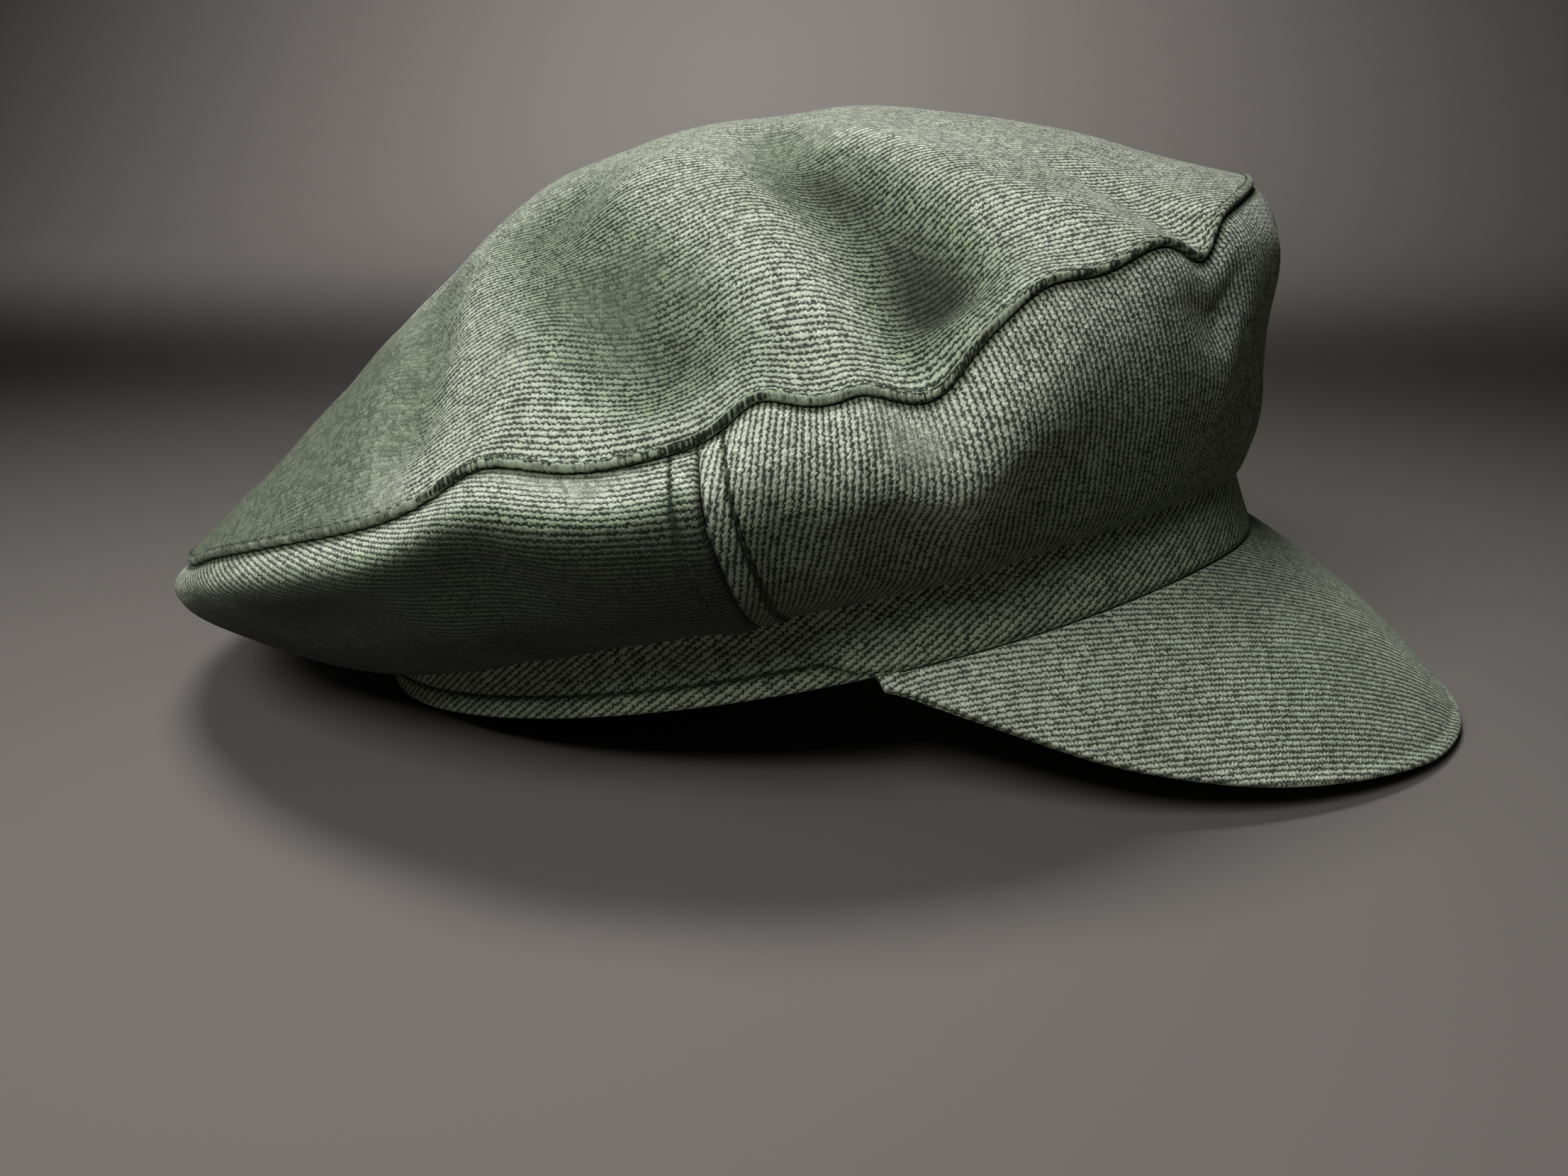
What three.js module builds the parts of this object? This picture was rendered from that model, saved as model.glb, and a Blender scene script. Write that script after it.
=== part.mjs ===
// A soft peaked cap of denim twill: a puckered top panel, a front and a back side panel that
// slouch over a plain band, and a stiff peak made of a top and an under cover.
// Millimetres. +X points to the peak, +Y to the wearer's left, +Z up. The cap lies as it does on a
// table: the lowest edge of the peak and the back of the band touch z = 0.
import * as THREE from "three";

// Sizes of the band, which fits a head of about 57 cm.
const BAND_LENGTH = 203;
const BAND_WIDTH = 167;
const BAND_HEIGHT = 18;
const BAND_LEAN = 2; // how much nearer the axis the band's top is than its foot
const BAND_WALL = 2;
const BAND_DIP = 3.5; // how far the foot sinks at the middle of the front

// Sizes of the crown.
const CROWN_LENGTH = 251; // the top panel's seam, front to back
const CROWN_WIDTH = 220; // the same seam, side to side
const CROWN_SETBACK = 13; // how far the seam's middle lies behind the band's
const CROWN_HEIGHT = 105.5; // the highest place of the top panel above the band's foot
const SEAM_HEIGHT = 70.5; // the seam above the band's foot, at the front
const CLOTH = 1.5; // a sewn and lined panel
const SIDE_SEAM_ANGLE = 84; // degrees round from the front to each side seam

// Sizes of the peak.
const PEAK_REACH = 38.5; // how far its front edge stands ahead of the band
const PEAK_DROP = 53; // how far that edge lies below the band's foot
const PEAK_WIDTH = 167;
const PEAK_CORNER_ANGLE = 71; // degrees round from the front to each corner of the peak
const PEAK_COVER = 1.4; // each of its two covers
const PEAK_BOW = 0.05; // rise of the peak's middle over its straight line, as a share of its length

const GAP = 0.3; // clearance between pieces that touch

// Steps round the cap: the near side, which carries the puckers, is finer than the far one.
const NEAR_STEPS = 60;
const FAR_STEPS = 30;
const TOP_RINGS = 12;
const SIDE_STEP = 3; // degrees
const SIDE_ROWS = 9;
const PEAK_COLUMNS = 32;
const PEAK_ROWS = 6;

// Height of the seam round the cap. Columns: degrees from the front; share of SEAM_HEIGHT.
const SEAM_LINE = [
  [0, 1.0],
  [12, 0.993],
  [25, 0.965],
  [37, 0.943],
  [48, 0.929],
  [55, 0.865],
  [63, 0.78],
  [73, 0.794],
  [90, 0.763],
  [105, 0.766],
  [117, 0.716],
  [130, 0.685],
  [142, 0.645],
  [150, 0.603],
  [165, 0.56],
  [180, 0.546],
];

// Puckers of the seam on the near side.
// Columns: degrees from the front; half width in degrees; rise as a share of SEAM_HEIGHT.
const PUCKERS = [
  [103.5, 5.5, 0.054],
  [78, 3.8, 0.061],
  [68.5, 2.5, 0.021],
  [62, 3.6, -0.035],
  [50, 6, 0.021],
  [43, 4, -0.012],
  [35.5, 4, 0.011],
  [27, 3.6, -0.083],
];

// Sections of the side panels. Columns: degrees from the front; height of the panel's foot as a
// share of BAND_HEIGHT; then, as shares of SEAM_HEIGHT, how far the lower guide point lies out from
// and above the foot, and how far the upper guide point lies out from and below the seam.
const SIDE_SECTIONS = [
  [0, 0.806, 0.085, 0.085, 0.175, 0.165],
  [12, 0.806, 0.085, 0.085, 0.165, 0.18],
  [45, 0.833, 0.156, 0.014, 0.128, 0.284],
  [62, 0.833, 0.19, 0.0, 0.24, 0.24],
  [84, 0.833, 0.227, 0.0, 0.36, 0.18],
  [115, 0.75, 0.255, 0.0, 0.31, 0.13],
  [142, 0.444, 0.17, 0.043, 0.26, 0.1],
  [165, 0.389, 0.17, 0.043, 0.262, 0.1],
  [180, 0.389, 0.17, 0.043, 0.262, 0.1],
];

// Dents and swellings of the side panels. Columns: degrees from the front; height on the panel as
// a share of it; half width in degrees; half height as a share of the panel; depth (+ out, - in) as
// a share of SEAM_HEIGHT.
const SIDE_DENTS = [
  [0, 0.5, 42, 0.25, -0.035],
  [27, 0.8, 6, 0.12, -0.04],
  [52, 0.72, 10, 0.2, 0.03],
  [66, 0.5, 7, 0.3, -0.03],
  [128, 0.6, 12, 0.16, -0.028],
  [67, 0.71, 13, 0.1, 0.026],
  [70, 0.45, 14, 0.16, -0.02],
  [106, 0.83, 24, 0.09, 0.028],
  [108, 0.58, 24, 0.16, -0.02],
];

// Fall of the top panel from its highest place to the seam. Columns: share of the way out; share of
// the fall reached toward the front, toward the sides and toward the back.
const TOP_FALL = [
  [-0.15, 0.025, 0.02, 0.01],
  [0, 0, 0, 0],
  [0.15, 0.025, 0.02, 0.01],
  [0.3, 0.085, 0.08, 0.1],
  [0.5, 0.27, 0.25, 0.33],
  [0.7, 0.53, 0.5, 0.63],
  [0.85, 0.78, 0.75, 0.815],
  [1, 1, 1, 1],
];

// Folds of the top panel. Each has a half width as a share of half of CROWN_LENGTH, a rise (+) or
// depth (-) as a share of CROWN_HEIGHT, and a line of places: shares of half of CROWN_LENGTH ahead
// of the band's middle, and of half of CROWN_WIDTH to the near side.
const TOP_FOLDS = [
  {
    width: 0.092,
    rise: -0.052,
    line: [
      [0.07, 0.17],
      [0.17, 0.26],
      [0.24, 0.38],
      [0.3, 0.49],
      [0.37, 0.61],
      [0.43, 0.72],
      [0.46, 0.84],
    ],
  },
  {
    width: 0.08,
    rise: 0.025,
    line: [
      [0.13, 0.11],
      [0.23, 0.23],
      [0.36, 0.38],
      [0.48, 0.49],
      [0.6, 0.53],
      [0.72, 0.53],
    ],
  },
  {
    width: 0.104,
    rise: -0.038,
    line: [
      [-0.25, 0.2],
      [-0.22, 0.33],
      [-0.17, 0.46],
      [-0.1, 0.61],
      [-0.02, 0.73],
      [0.05, 0.82],
      [0.14, 0.91],
    ],
  },
  {
    width: 0.084,
    rise: 0.021,
    line: [
      [-0.1, 0.27],
      [0.07, 0.45],
      [0.15, 0.6],
      [0.21, 0.72],
      [0.25, 0.79],
      [0.3, 0.88],
    ],
  },
  {
    width: 0.05,
    rise: -0.03,
    line: [
      [-0.58, 0.12],
      [-0.51, 0.22],
      [-0.41, 0.41],
      [-0.38, 0.58],
      [-0.37, 0.76],
      [-0.375, 0.94],
    ],
  },
];

// Outer edge of the peak. Columns: degrees round its own oval from the front; share of PEAK_DROP.
const PEAK_EDGE = [
  [0, 1.0],
  [8, 0.996],
  [16, 0.981],
  [25, 0.947],
  [35, 0.877],
  [44, 0.804],
  [51, 0.736],
  [58, 0.651],
  [66, 0.532],
  [71, 0.442],
  [77, 0.313],
  [83, 0.181],
  [88, 0.075],
  [92, 0.03],
];
const PEAK_EDGE_END = 91; // degrees round the oval at which the edge meets the peak's corner
const PEAK_OVAL_MIDDLE = 0.296; // how far ahead of the band's middle, as a share of half its length
const PEAK_CORNER_TUCK = 0.028; // how much the oval narrows towards the corners

const radians = THREE.MathUtils.degToRad;

/** Smooth curve through a table's rows (x in the first column), flat at both ends if level. */
function through(rows, x, column = 1, level = false) {
  const n = rows.length;
  const xs = rows.map((row) => row[0]);
  const ys = rows.map((row) => row[column]);
  const slope = (i) => {
    if (i > 0 && i < n - 1) return (ys[i + 1] - ys[i - 1]) / (xs[i + 1] - xs[i - 1]);
    if (level) return 0;
    return i === 0 ? (ys[1] - ys[0]) / (xs[1] - xs[0]) : (ys[n - 1] - ys[n - 2]) / (xs[n - 1] - xs[n - 2]);
  };
  const at = Math.min(Math.max(x, xs[0]), xs[n - 1]);
  let i = 0;
  while (i < n - 2 && at > xs[i + 1]) i += 1;
  const step = xs[i + 1] - xs[i];
  const q = (at - xs[i]) / step;
  const q2 = q * q;
  const q3 = q2 * q;
  return (
    (2 * q3 - 3 * q2 + 1) * ys[i] +
    (q3 - 2 * q2 + q) * step * slope(i) +
    (3 * q2 - 2 * q3) * ys[i + 1] +
    (q3 - q2) * step * slope(i + 1)
  );
}

const bell = (x) => Math.exp(-x * x);

/** Degrees from the front, 0 to 180 on either side. */
function fromFront(turn) {
  const t = ((turn % 360) + 360) % 360;
  return t > 180 ? 360 - t : t;
}

/** 1 on the near side, 0 on the far one, blending across the front and the back. */
function nearShare(turn) {
  return 1 / (1 + Math.exp(-9 * Math.sin(radians(turn))));
}

/** Distance from the axis to an oval whose middle lies ahead of it. */
function ovalRadius(turn, halfLength, halfWidth, ahead = 0) {
  const c = Math.cos(radians(turn));
  const s = Math.sin(radians(turn));
  const a = (c / halfLength) ** 2 + (s / halfWidth) ** 2;
  const b = (-2 * ahead * c) / halfLength ** 2;
  const k = (ahead / halfLength) ** 2 - 1;
  return (-b + Math.sqrt(b * b - 4 * a * k)) / (2 * a);
}

/** A place at a radius and height; turn runs from the front toward the near side, which is -Y. */
function place(turn, radius, height) {
  return new THREE.Vector3(
    radius * Math.cos(radians(turn)),
    -radius * Math.sin(radians(turn)),
    height,
  );
}

const bandRadius = (turn) => ovalRadius(turn, BAND_LENGTH / 2, BAND_WIDTH / 2);
const seamRadius = (turn) => ovalRadius(turn, CROWN_LENGTH / 2, CROWN_WIDTH / 2, -CROWN_SETBACK);
const frontDip = (turn) => BAND_DIP * bell(fromFront(turn) / 20);

function plainSeamHeight(turn) {
  return SEAM_HEIGHT * through(SEAM_LINE, fromFront(turn), 1, true);
}

function puckerHeight(turn) {
  const t = ((turn % 360) + 360) % 360;
  let rise = 0;
  for (const [at, width, share] of PUCKERS) rise += share * bell((t - at) / width);
  return SEAM_HEIGHT * rise * nearShare(turn);
}

/** Height that one fold adds at a place: a rounded ridge or valley that fades at both ends. */
function foldHeight(fold, x, y) {
  let nearest = Infinity;
  let along = 0;
  let length = 0;
  for (let k = 0; k + 1 < fold.line.length; k += 1) {
    const ax = (fold.line[k][0] * CROWN_LENGTH) / 2;
    const ay = (-fold.line[k][1] * CROWN_WIDTH) / 2;
    const bx = (fold.line[k + 1][0] * CROWN_LENGTH) / 2;
    const by = (-fold.line[k + 1][1] * CROWN_WIDTH) / 2;
    const step = Math.hypot(bx - ax, by - ay);
    const share = ((x - ax) * (bx - ax) + (y - ay) * (by - ay)) / step ** 2;
    const q = Math.min(Math.max(share, 0), 1);
    const away = Math.hypot(x - ax - q * (bx - ax), y - ay - q * (by - ay));
    if (away < nearest) {
      nearest = away;
      along = length + q * step;
    }
    length += step;
  }
  const end = Math.min(along, length - along) / (0.2 * length);
  const q = Math.min(Math.max(end, 0), 1);
  const fade = q * q * (3 - 2 * q);
  return CROWN_HEIGHT * fold.rise * fade * bell(nearest / ((fold.width * CROWN_LENGTH) / 2));
}

/** The top panel's outer face, as a height over a place in plan. */
function topHeight(x, y) {
  const turn = THREE.MathUtils.radToDeg(Math.atan2(-y, x));
  const out = Math.min(Math.hypot(x, y) / seamRadius(turn), 1.2);
  const c = Math.cos(radians(turn));
  const ahead = c > 0 ? c * c : 0;
  const behind = c < 0 ? c * c : 0;
  const fall =
    ahead * through(TOP_FALL, out, 1) +
    (1 - ahead - behind) * through(TOP_FALL, out, 2) +
    behind * through(TOP_FALL, out, 3);
  const seam = plainSeamHeight(turn) + puckerHeight(turn) * Math.min(out, 1) ** 6;
  let height = CROWN_HEIGHT - (CROWN_HEIGHT - seam) * fall;
  const margin = Math.min(Math.max((1 - out) * 8, 0), 1);
  const inside = margin * margin * (3 - 2 * margin);
  for (const fold of TOP_FOLDS) height += inside * foldHeight(fold, x, y);
  return height;
}

/** Radius and height just under the top panel's edge, where a side panel's top edge lies. */
function seamUnder(turn) {
  const r = seamRadius(turn);
  const at = (radius) => {
    const spot = place(turn, radius, 0);
    return topHeight(spot.x, spot.y);
  };
  const slope = Math.atan(at(r - 1) - at(r));
  const z = plainSeamHeight(turn) + puckerHeight(turn);
  const step = 0.5;
  const rise = puckerHeight(turn + step) - puckerHeight(turn - step);
  const along = rise / (2 * radians(step) * r);
  const lean = CLOTH * (Math.sqrt(1 + along * along) - 1);
  return [r - CLOTH * Math.sin(slope) + GAP / 2, z - CLOTH * Math.cos(slope) - GAP - lean];
}

/** A side panel's outer face: up is 0 at the foot, which laps the band, and 1 under the seam. */
function sidePoint(turn, up) {
  const t = fromFront(turn);
  const [foot, lowOut, lowUp, highOut, highDown] = [1, 2, 3, 4, 5].map((column) =>
    through(SIDE_SECTIONS, t, column, true),
  );
  const z0 = foot * BAND_HEIGHT;
  const steep = lowUp / Math.hypot(lowOut, lowUp);
  const r0 = bandRadius(turn) - (BAND_LEAN * z0) / BAND_HEIGHT + GAP + CLOTH * steep;
  const [r3, z3] = seamUnder(turn);
  const radii = [r0, r0 + lowOut * SEAM_HEIGHT, r3 + highOut * SEAM_HEIGHT, r3];
  const heights = [
    z0 - frontDip(turn),
    z0 - frontDip(turn) + lowUp * SEAM_HEIGHT,
    z3 - highDown * SEAM_HEIGHT,
    z3,
  ];
  const q = 1 - up;
  const blend = [q ** 3, 3 * up * q * q, 3 * up * up * q, up ** 3];
  const mix = (values) => values.reduce((sum, value, i) => sum + value * blend[i], 0);
  const slopeOf = (v) =>
    q * q * (v[1] - v[0]) + 2 * up * q * (v[2] - v[1]) + up * up * (v[3] - v[2]);
  const dr = slopeOf(radii);
  const dz = slopeOf(heights);
  const length = Math.hypot(dr, dz);
  let dent = 0;
  for (const [at, high, width, tall, share] of SIDE_DENTS) {
    const near = at === 0 ? 1 : nearShare(turn);
    dent += share * near * bell((t - at) / width) * bell((up - high) / tall);
  }
  const ends = Math.min(up * 6, (1 - up) * 6, 1);
  const push = dent * SEAM_HEIGHT * ends;
  return place(turn, mix(radii) + (push * dz) / length, mix(heights) - (push * dr) / length);
}

/** The band's outer face: up is 0 at the foot and 1 at its top, inside the crown. */
function bandPoint(turn, up) {
  return place(turn, bandRadius(turn) - BAND_LEAN * up, BAND_HEIGHT * up - frontDip(turn));
}

/** The peak's upper face: across is -1 to 1 from far to near corner, out is 0 at the band. */
function peakPoint(across, out) {
  const turn = across * PEAK_CORNER_ANGLE;
  const root = place(turn, bandRadius(turn) - GAP, -GAP - frontDip(turn));
  const edge = across * PEAK_EDGE_END;
  const middle = (PEAK_OVAL_MIDDLE * BAND_LENGTH) / 2;
  const narrow = 1 - PEAK_CORNER_TUCK * Math.abs(across) ** 6;
  const rim = new THREE.Vector3(
    middle + (BAND_LENGTH / 2 + PEAK_REACH - middle) * Math.cos(radians(edge)),
    ((-PEAK_WIDTH * narrow) / 2) * Math.sin(radians(edge)),
    -PEAK_DROP * through(PEAK_EDGE, Math.abs(edge), 1),
  );
  const run = rim.clone().sub(root);
  const length = run.length();
  const lift = new THREE.Vector3(
    -run.z * Math.cos(radians(turn)),
    run.z * Math.sin(radians(turn)),
    Math.hypot(run.x, run.y),
  );
  return root
    .add(run.multiplyScalar(out))
    .add(lift.multiplyScalar(PEAK_BOW * Math.sin(Math.PI * out) * (1 - across ** 4)));
}

/** Unit normal of a surface given by two numbers, by small differences inside their range. */
function normalOf(surface, a, b, low, high) {
  const d = 1e-3;
  const b0 = Math.max(b - d, low);
  const b1 = Math.min(b + d, high);
  const du = surface(a + d, b).sub(surface(a - d, b));
  const dv = surface(a, b1).sub(surface(a, b0));
  return du.cross(dv).normalize();
}

/** A closed body from corner places and triangles, turned so that its faces look out. */
function bodyFrom(corners, triangles) {
  let volume = 0;
  for (const [a, b, c] of triangles) {
    volume += corners[a].dot(new THREE.Vector3().crossVectors(corners[b], corners[c]));
  }
  const ordered = volume < 0 ? triangles.map(([a, b, c]) => [a, c, b]) : triangles;
  const geometry = new THREE.BufferGeometry();
  geometry.setAttribute(
    "position",
    new THREE.Float32BufferAttribute(
      corners.flatMap((corner) => corner.toArray()),
      3,
    ),
  );
  geometry.setIndex(ordered.flat());
  geometry.computeVertexNormals();
  return geometry;
}

/**
 * A body between two grids of places, face and back, that share their edges' outline. A closed
 * grid joins its last column to its first; an apex closes the first row to one place each.
 */
function sheetBody(face, back, { closed = false, apex = null } = {}) {
  const columns = face.length;
  const rows = face[0].length;
  const corners = [...face.flat(), ...back.flat()];
  const at = (side, i, j) => side * columns * rows + (i % columns) * rows + j;
  const triangles = [];
  const quad = (a, b, c, d) => triangles.push([a, b, c], [a, c, d]);
  const spans = closed ? columns : columns - 1;
  for (let i = 0; i < spans; i += 1) {
    for (let j = 0; j + 1 < rows; j += 1) {
      quad(at(0, i, j), at(0, i + 1, j), at(0, i + 1, j + 1), at(0, i, j + 1));
      quad(at(1, i, j), at(1, i, j + 1), at(1, i + 1, j + 1), at(1, i + 1, j));
    }
    quad(at(0, i, rows - 1), at(0, i + 1, rows - 1), at(1, i + 1, rows - 1), at(1, i, rows - 1));
    if (apex) {
      const top = corners.length;
      triangles.push([top, at(0, i + 1, 0), at(0, i, 0)]);
      triangles.push([top + 1, at(1, i, 0), at(1, i + 1, 0)]);
    } else {
      quad(at(1, i, 0), at(1, i + 1, 0), at(0, i + 1, 0), at(0, i, 0));
    }
  }
  if (!closed) {
    for (let j = 0; j + 1 < rows; j += 1) {
      const last = columns - 1;
      quad(at(0, 0, j), at(0, 0, j + 1), at(1, 0, j + 1), at(1, 0, j));
      quad(at(1, last, j), at(1, last, j + 1), at(0, last, j + 1), at(0, last, j));
    }
  }
  if (apex) corners.push(...apex);
  return bodyFrom(corners, triangles);
}

/** A panel of even thickness behind a surface of two numbers. */
function panelBody(surface, columns, rows, front, thick, sign = 1) {
  const low = rows[0];
  const high = rows[rows.length - 1];
  const face = [];
  const back = [];
  for (const a of columns) {
    const spots = rows.map((b) => [
      surface(a, b),
      normalOf(surface, a, b, low, high).multiplyScalar(sign),
    ]);
    face.push(spots.map(([spot, normal]) => spot.clone().addScaledVector(normal, -front)));
    back.push(spots.map(([spot, normal]) => spot.clone().addScaledVector(normal, -front - thick)));
  }
  return sheetBody(face, back);
}

/** Evenly spread numbers from a to b in a number of steps. */
function spread(a, b, steps) {
  return Array.from({ length: steps + 1 }, (_, i) => a + ((b - a) * i) / steps);
}

/** The top panel, a dome that is closed at its highest place and open at the seam. */
function topBody() {
  const turns = [
    ...spread(0, 180, NEAR_STEPS).slice(0, -1),
    ...spread(180, 360, FAR_STEPS).slice(0, -1),
  ];
  const shares = spread(0, 1, TOP_RINGS).slice(1);
  const spotAt = (x, y) => {
    const d = 0.05;
    const sx = (topHeight(x + d, y) - topHeight(x - d, y)) / (2 * d);
    const sy = (topHeight(x, y + d) - topHeight(x, y - d)) / (2 * d);
    const spot = new THREE.Vector3(x, y, topHeight(x, y));
    const under = spot.clone().addScaledVector(new THREE.Vector3(-sx, -sy, 1).normalize(), -CLOTH);
    return [spot, under];
  };
  const face = [];
  const back = [];
  for (const turn of turns) {
    const spots = shares.map((share) => {
      const foot = place(turn, seamRadius(turn) * share, 0);
      const inset = share === 1 ? 0.999 : 1;
      const [spot, under] = spotAt(foot.x * inset, foot.y * inset);
      return [spot, under];
    });
    face.push(spots.map(([spot]) => spot));
    back.push(spots.map(([, under]) => under));
  }
  return sheetBody(face, back, { closed: true, apex: spotAt(0, 0) });
}

/** One side panel from a turn to another, with a small gap at each side seam. */
function sideBody(from, to) {
  const gap = THREE.MathUtils.radToDeg(GAP / BAND_WIDTH);
  const turns = spread(from, to, Math.round((to - from) / SIDE_STEP));
  turns[0] += gap;
  turns[turns.length - 1] -= gap;
  return panelBody(sidePoint, turns, spread(0, 1, SIDE_ROWS), 0, CLOTH, -1);
}

/** The band: a ring of even wall with a flat foot. */
function bandBody() {
  const turns = spread(0, 360, NEAR_STEPS + FAR_STEPS / 2).slice(0, -1);
  const face = turns.map((turn) => [0, 0.5, 1].map((up) => bandPoint(turn, up)));
  const back = face.map((column, i) =>
    column.map((spot) => {
      const inward = place(turns[i], -BAND_WALL, 0);
      return spot.clone().add(inward);
    }),
  );
  return sheetBody(face, back, { closed: true });
}

/** One cover of the peak, whose upper face lies a depth below the peak's. */
function peakBody(depth) {
  const columns = spread(-1, 1, PEAK_COLUMNS).map((a) => Math.sign(a) * Math.abs(a) ** 0.9);
  return panelBody(peakPoint, columns, spread(0, 1, PEAK_ROWS), depth, PEAK_COVER);
}

/** A named piece of cloth with its colour. */
function piece(name, geometry, color) {
  const material = new THREE.MeshStandardMaterial({ color, roughness: 0.95, metalness: 0 });
  const mesh = new THREE.Mesh(geometry, material);
  mesh.name = name;
  return mesh;
}

const headband = piece("headband", bandBody(), 0x555d50);
const peakUnder = piece("peak_under_cover", peakBody(PEAK_COVER + GAP), 0x4d5549);
const pieces = [
  piece("crown_top", topBody(), 0x767d72),
  piece("front_side_panel", sideBody(-SIDE_SEAM_ANGLE, SIDE_SEAM_ANGLE), 0x7c8277),
  piece("back_side_panel", sideBody(SIDE_SEAM_ANGLE, 360 - SIDE_SEAM_ANGLE), 0x777e72),
  headband,
  piece("peak_top_cover", peakBody(0), 0x5f675c),
  peakUnder,
];

/** Lowest height of a piece after the cap is tipped nose up by an angle. */
function lowest(mesh, tip) {
  const spots = mesh.geometry.getAttribute("position");
  let low = Infinity;
  for (let i = 0; i < spots.count; i += 1) {
    low = Math.min(low, spots.getX(i) * Math.sin(tip) + spots.getZ(i) * Math.cos(tip));
  }
  return low;
}

// The cap tips nose up until the peak's edge and the back of the band are level.
let tipLow = 0;
let tipHigh = Math.PI / 4;
for (let i = 0; i < 40; i += 1) {
  const tip = (tipLow + tipHigh) / 2;
  if (lowest(peakUnder, tip) < lowest(headband, tip)) tipLow = tip;
  else tipHigh = tip;
}

const cap = new THREE.Group();
cap.add(...pieces);
cap.rotation.y = -tipLow;
cap.updateMatrixWorld(true);
const box = new THREE.Box3().setFromObject(cap, true);

// The origin is under the middle of the whole cap, where it rests.
cap.position.set(-(box.min.x + box.max.x) / 2, -(box.min.y + box.max.y) / 2, -box.min.z);

const hat = new THREE.Group();
hat.add(cap);

export default hat;
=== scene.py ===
"""A soft peaked cap of denim twill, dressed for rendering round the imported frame.

Shapes are worked out in millimetres in the cap's own frame: X to the peak, Y to the wearer's left,
Z up from the middle of the band's foot. Turns are degrees round from the front towards the near
side, which is -Y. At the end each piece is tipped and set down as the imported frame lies, in metres.
"""

import logging
import math
from dataclasses import dataclass
from enum import Enum
from typing import Callable

import bmesh
import bpy
import numpy as np
from mathutils import Matrix, Vector


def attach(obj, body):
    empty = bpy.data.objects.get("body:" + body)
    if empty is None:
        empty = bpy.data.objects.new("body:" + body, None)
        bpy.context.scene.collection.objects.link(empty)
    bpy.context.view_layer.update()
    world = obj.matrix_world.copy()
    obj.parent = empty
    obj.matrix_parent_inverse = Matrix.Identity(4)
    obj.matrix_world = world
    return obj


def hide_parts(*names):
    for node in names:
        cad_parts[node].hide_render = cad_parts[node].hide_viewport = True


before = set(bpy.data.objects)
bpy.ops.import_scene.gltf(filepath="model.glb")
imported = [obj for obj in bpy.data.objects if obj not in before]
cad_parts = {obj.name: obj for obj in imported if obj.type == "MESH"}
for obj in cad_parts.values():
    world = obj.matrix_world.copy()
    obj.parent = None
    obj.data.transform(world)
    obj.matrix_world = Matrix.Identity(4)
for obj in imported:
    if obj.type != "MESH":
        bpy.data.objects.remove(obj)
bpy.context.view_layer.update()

log = logging.getLogger("denim_cap")
MM = 0.001
LOW_GLOSS = 0.2


class Hold(Enum):
    """How a panel of cloth is held in its place."""

    STRETCHED = "stretched"
    GATHERED = "gathered"
    FOLDED = "folded"


class Slot(Enum):
    """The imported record's material slots."""

    CROWN = "crown_denim"
    BAND = "band_denim"
    PEAK = "peak_denim"


def show(made: bpy.types.Object) -> None:
    """Puts an object in the scene."""
    bpy.context.scene.collection.objects.link(made)


def bell(x: np.ndarray) -> np.ndarray:
    """Bell curve: e to the power of minus x squared."""
    return np.exp(-x * x)


def ramp(x: np.ndarray) -> np.ndarray:
    """Smooth step from 0 at x = 0 to 1 at x = 1."""
    q = np.clip(x, 0.0, 1.0)
    return q * q * (3 - 2 * q)


def unit(v: np.ndarray) -> np.ndarray:
    """Vectors of length 1 along the last axis."""
    return v / np.maximum(np.linalg.norm(v, axis=-1, keepdims=True), 1e-12)


def spot(turn: np.ndarray, radius: np.ndarray, height: np.ndarray) -> np.ndarray:
    """Places from turns, radii and heights: x = r cos t, y = -r sin t, z = height.

    Args:
        turn: Degrees from the front.
        radius: Distance from the axis.
        height: Height.

    Returns:
        Places, with x, y and z along the last axis.
    """
    t = np.radians(turn)
    x, y, z = np.broadcast_arrays(radius * np.cos(t), -radius * np.sin(t), height)
    return np.stack([x, y, z], axis=-1)


def ripple(a: np.ndarray, b: np.ndarray, seed: int, count: int = 7) -> np.ndarray:
    """Gentle unevenness about 0: a mean of sine waves over two lengths in mm, at set phases.

    Args:
        a: One length over the cloth, in mm.
        b: The other length.
        seed: Which set of directions, wavelengths and phases.
        count: How many waves are added.

    Returns:
        Values of about -1 to 1.
    """
    draw = np.random.default_rng(seed)
    total = np.zeros(np.broadcast(a, b).shape)
    for _ in range(count):
        way, phase = draw.uniform(0, 2 * math.pi, 2)
        wave = draw.uniform(17, 46)
        along = a * math.cos(way) + b * math.sin(way)
        total = total + np.sin(2 * math.pi * along / wave + phase)
    return total / math.sqrt(count)


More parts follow.
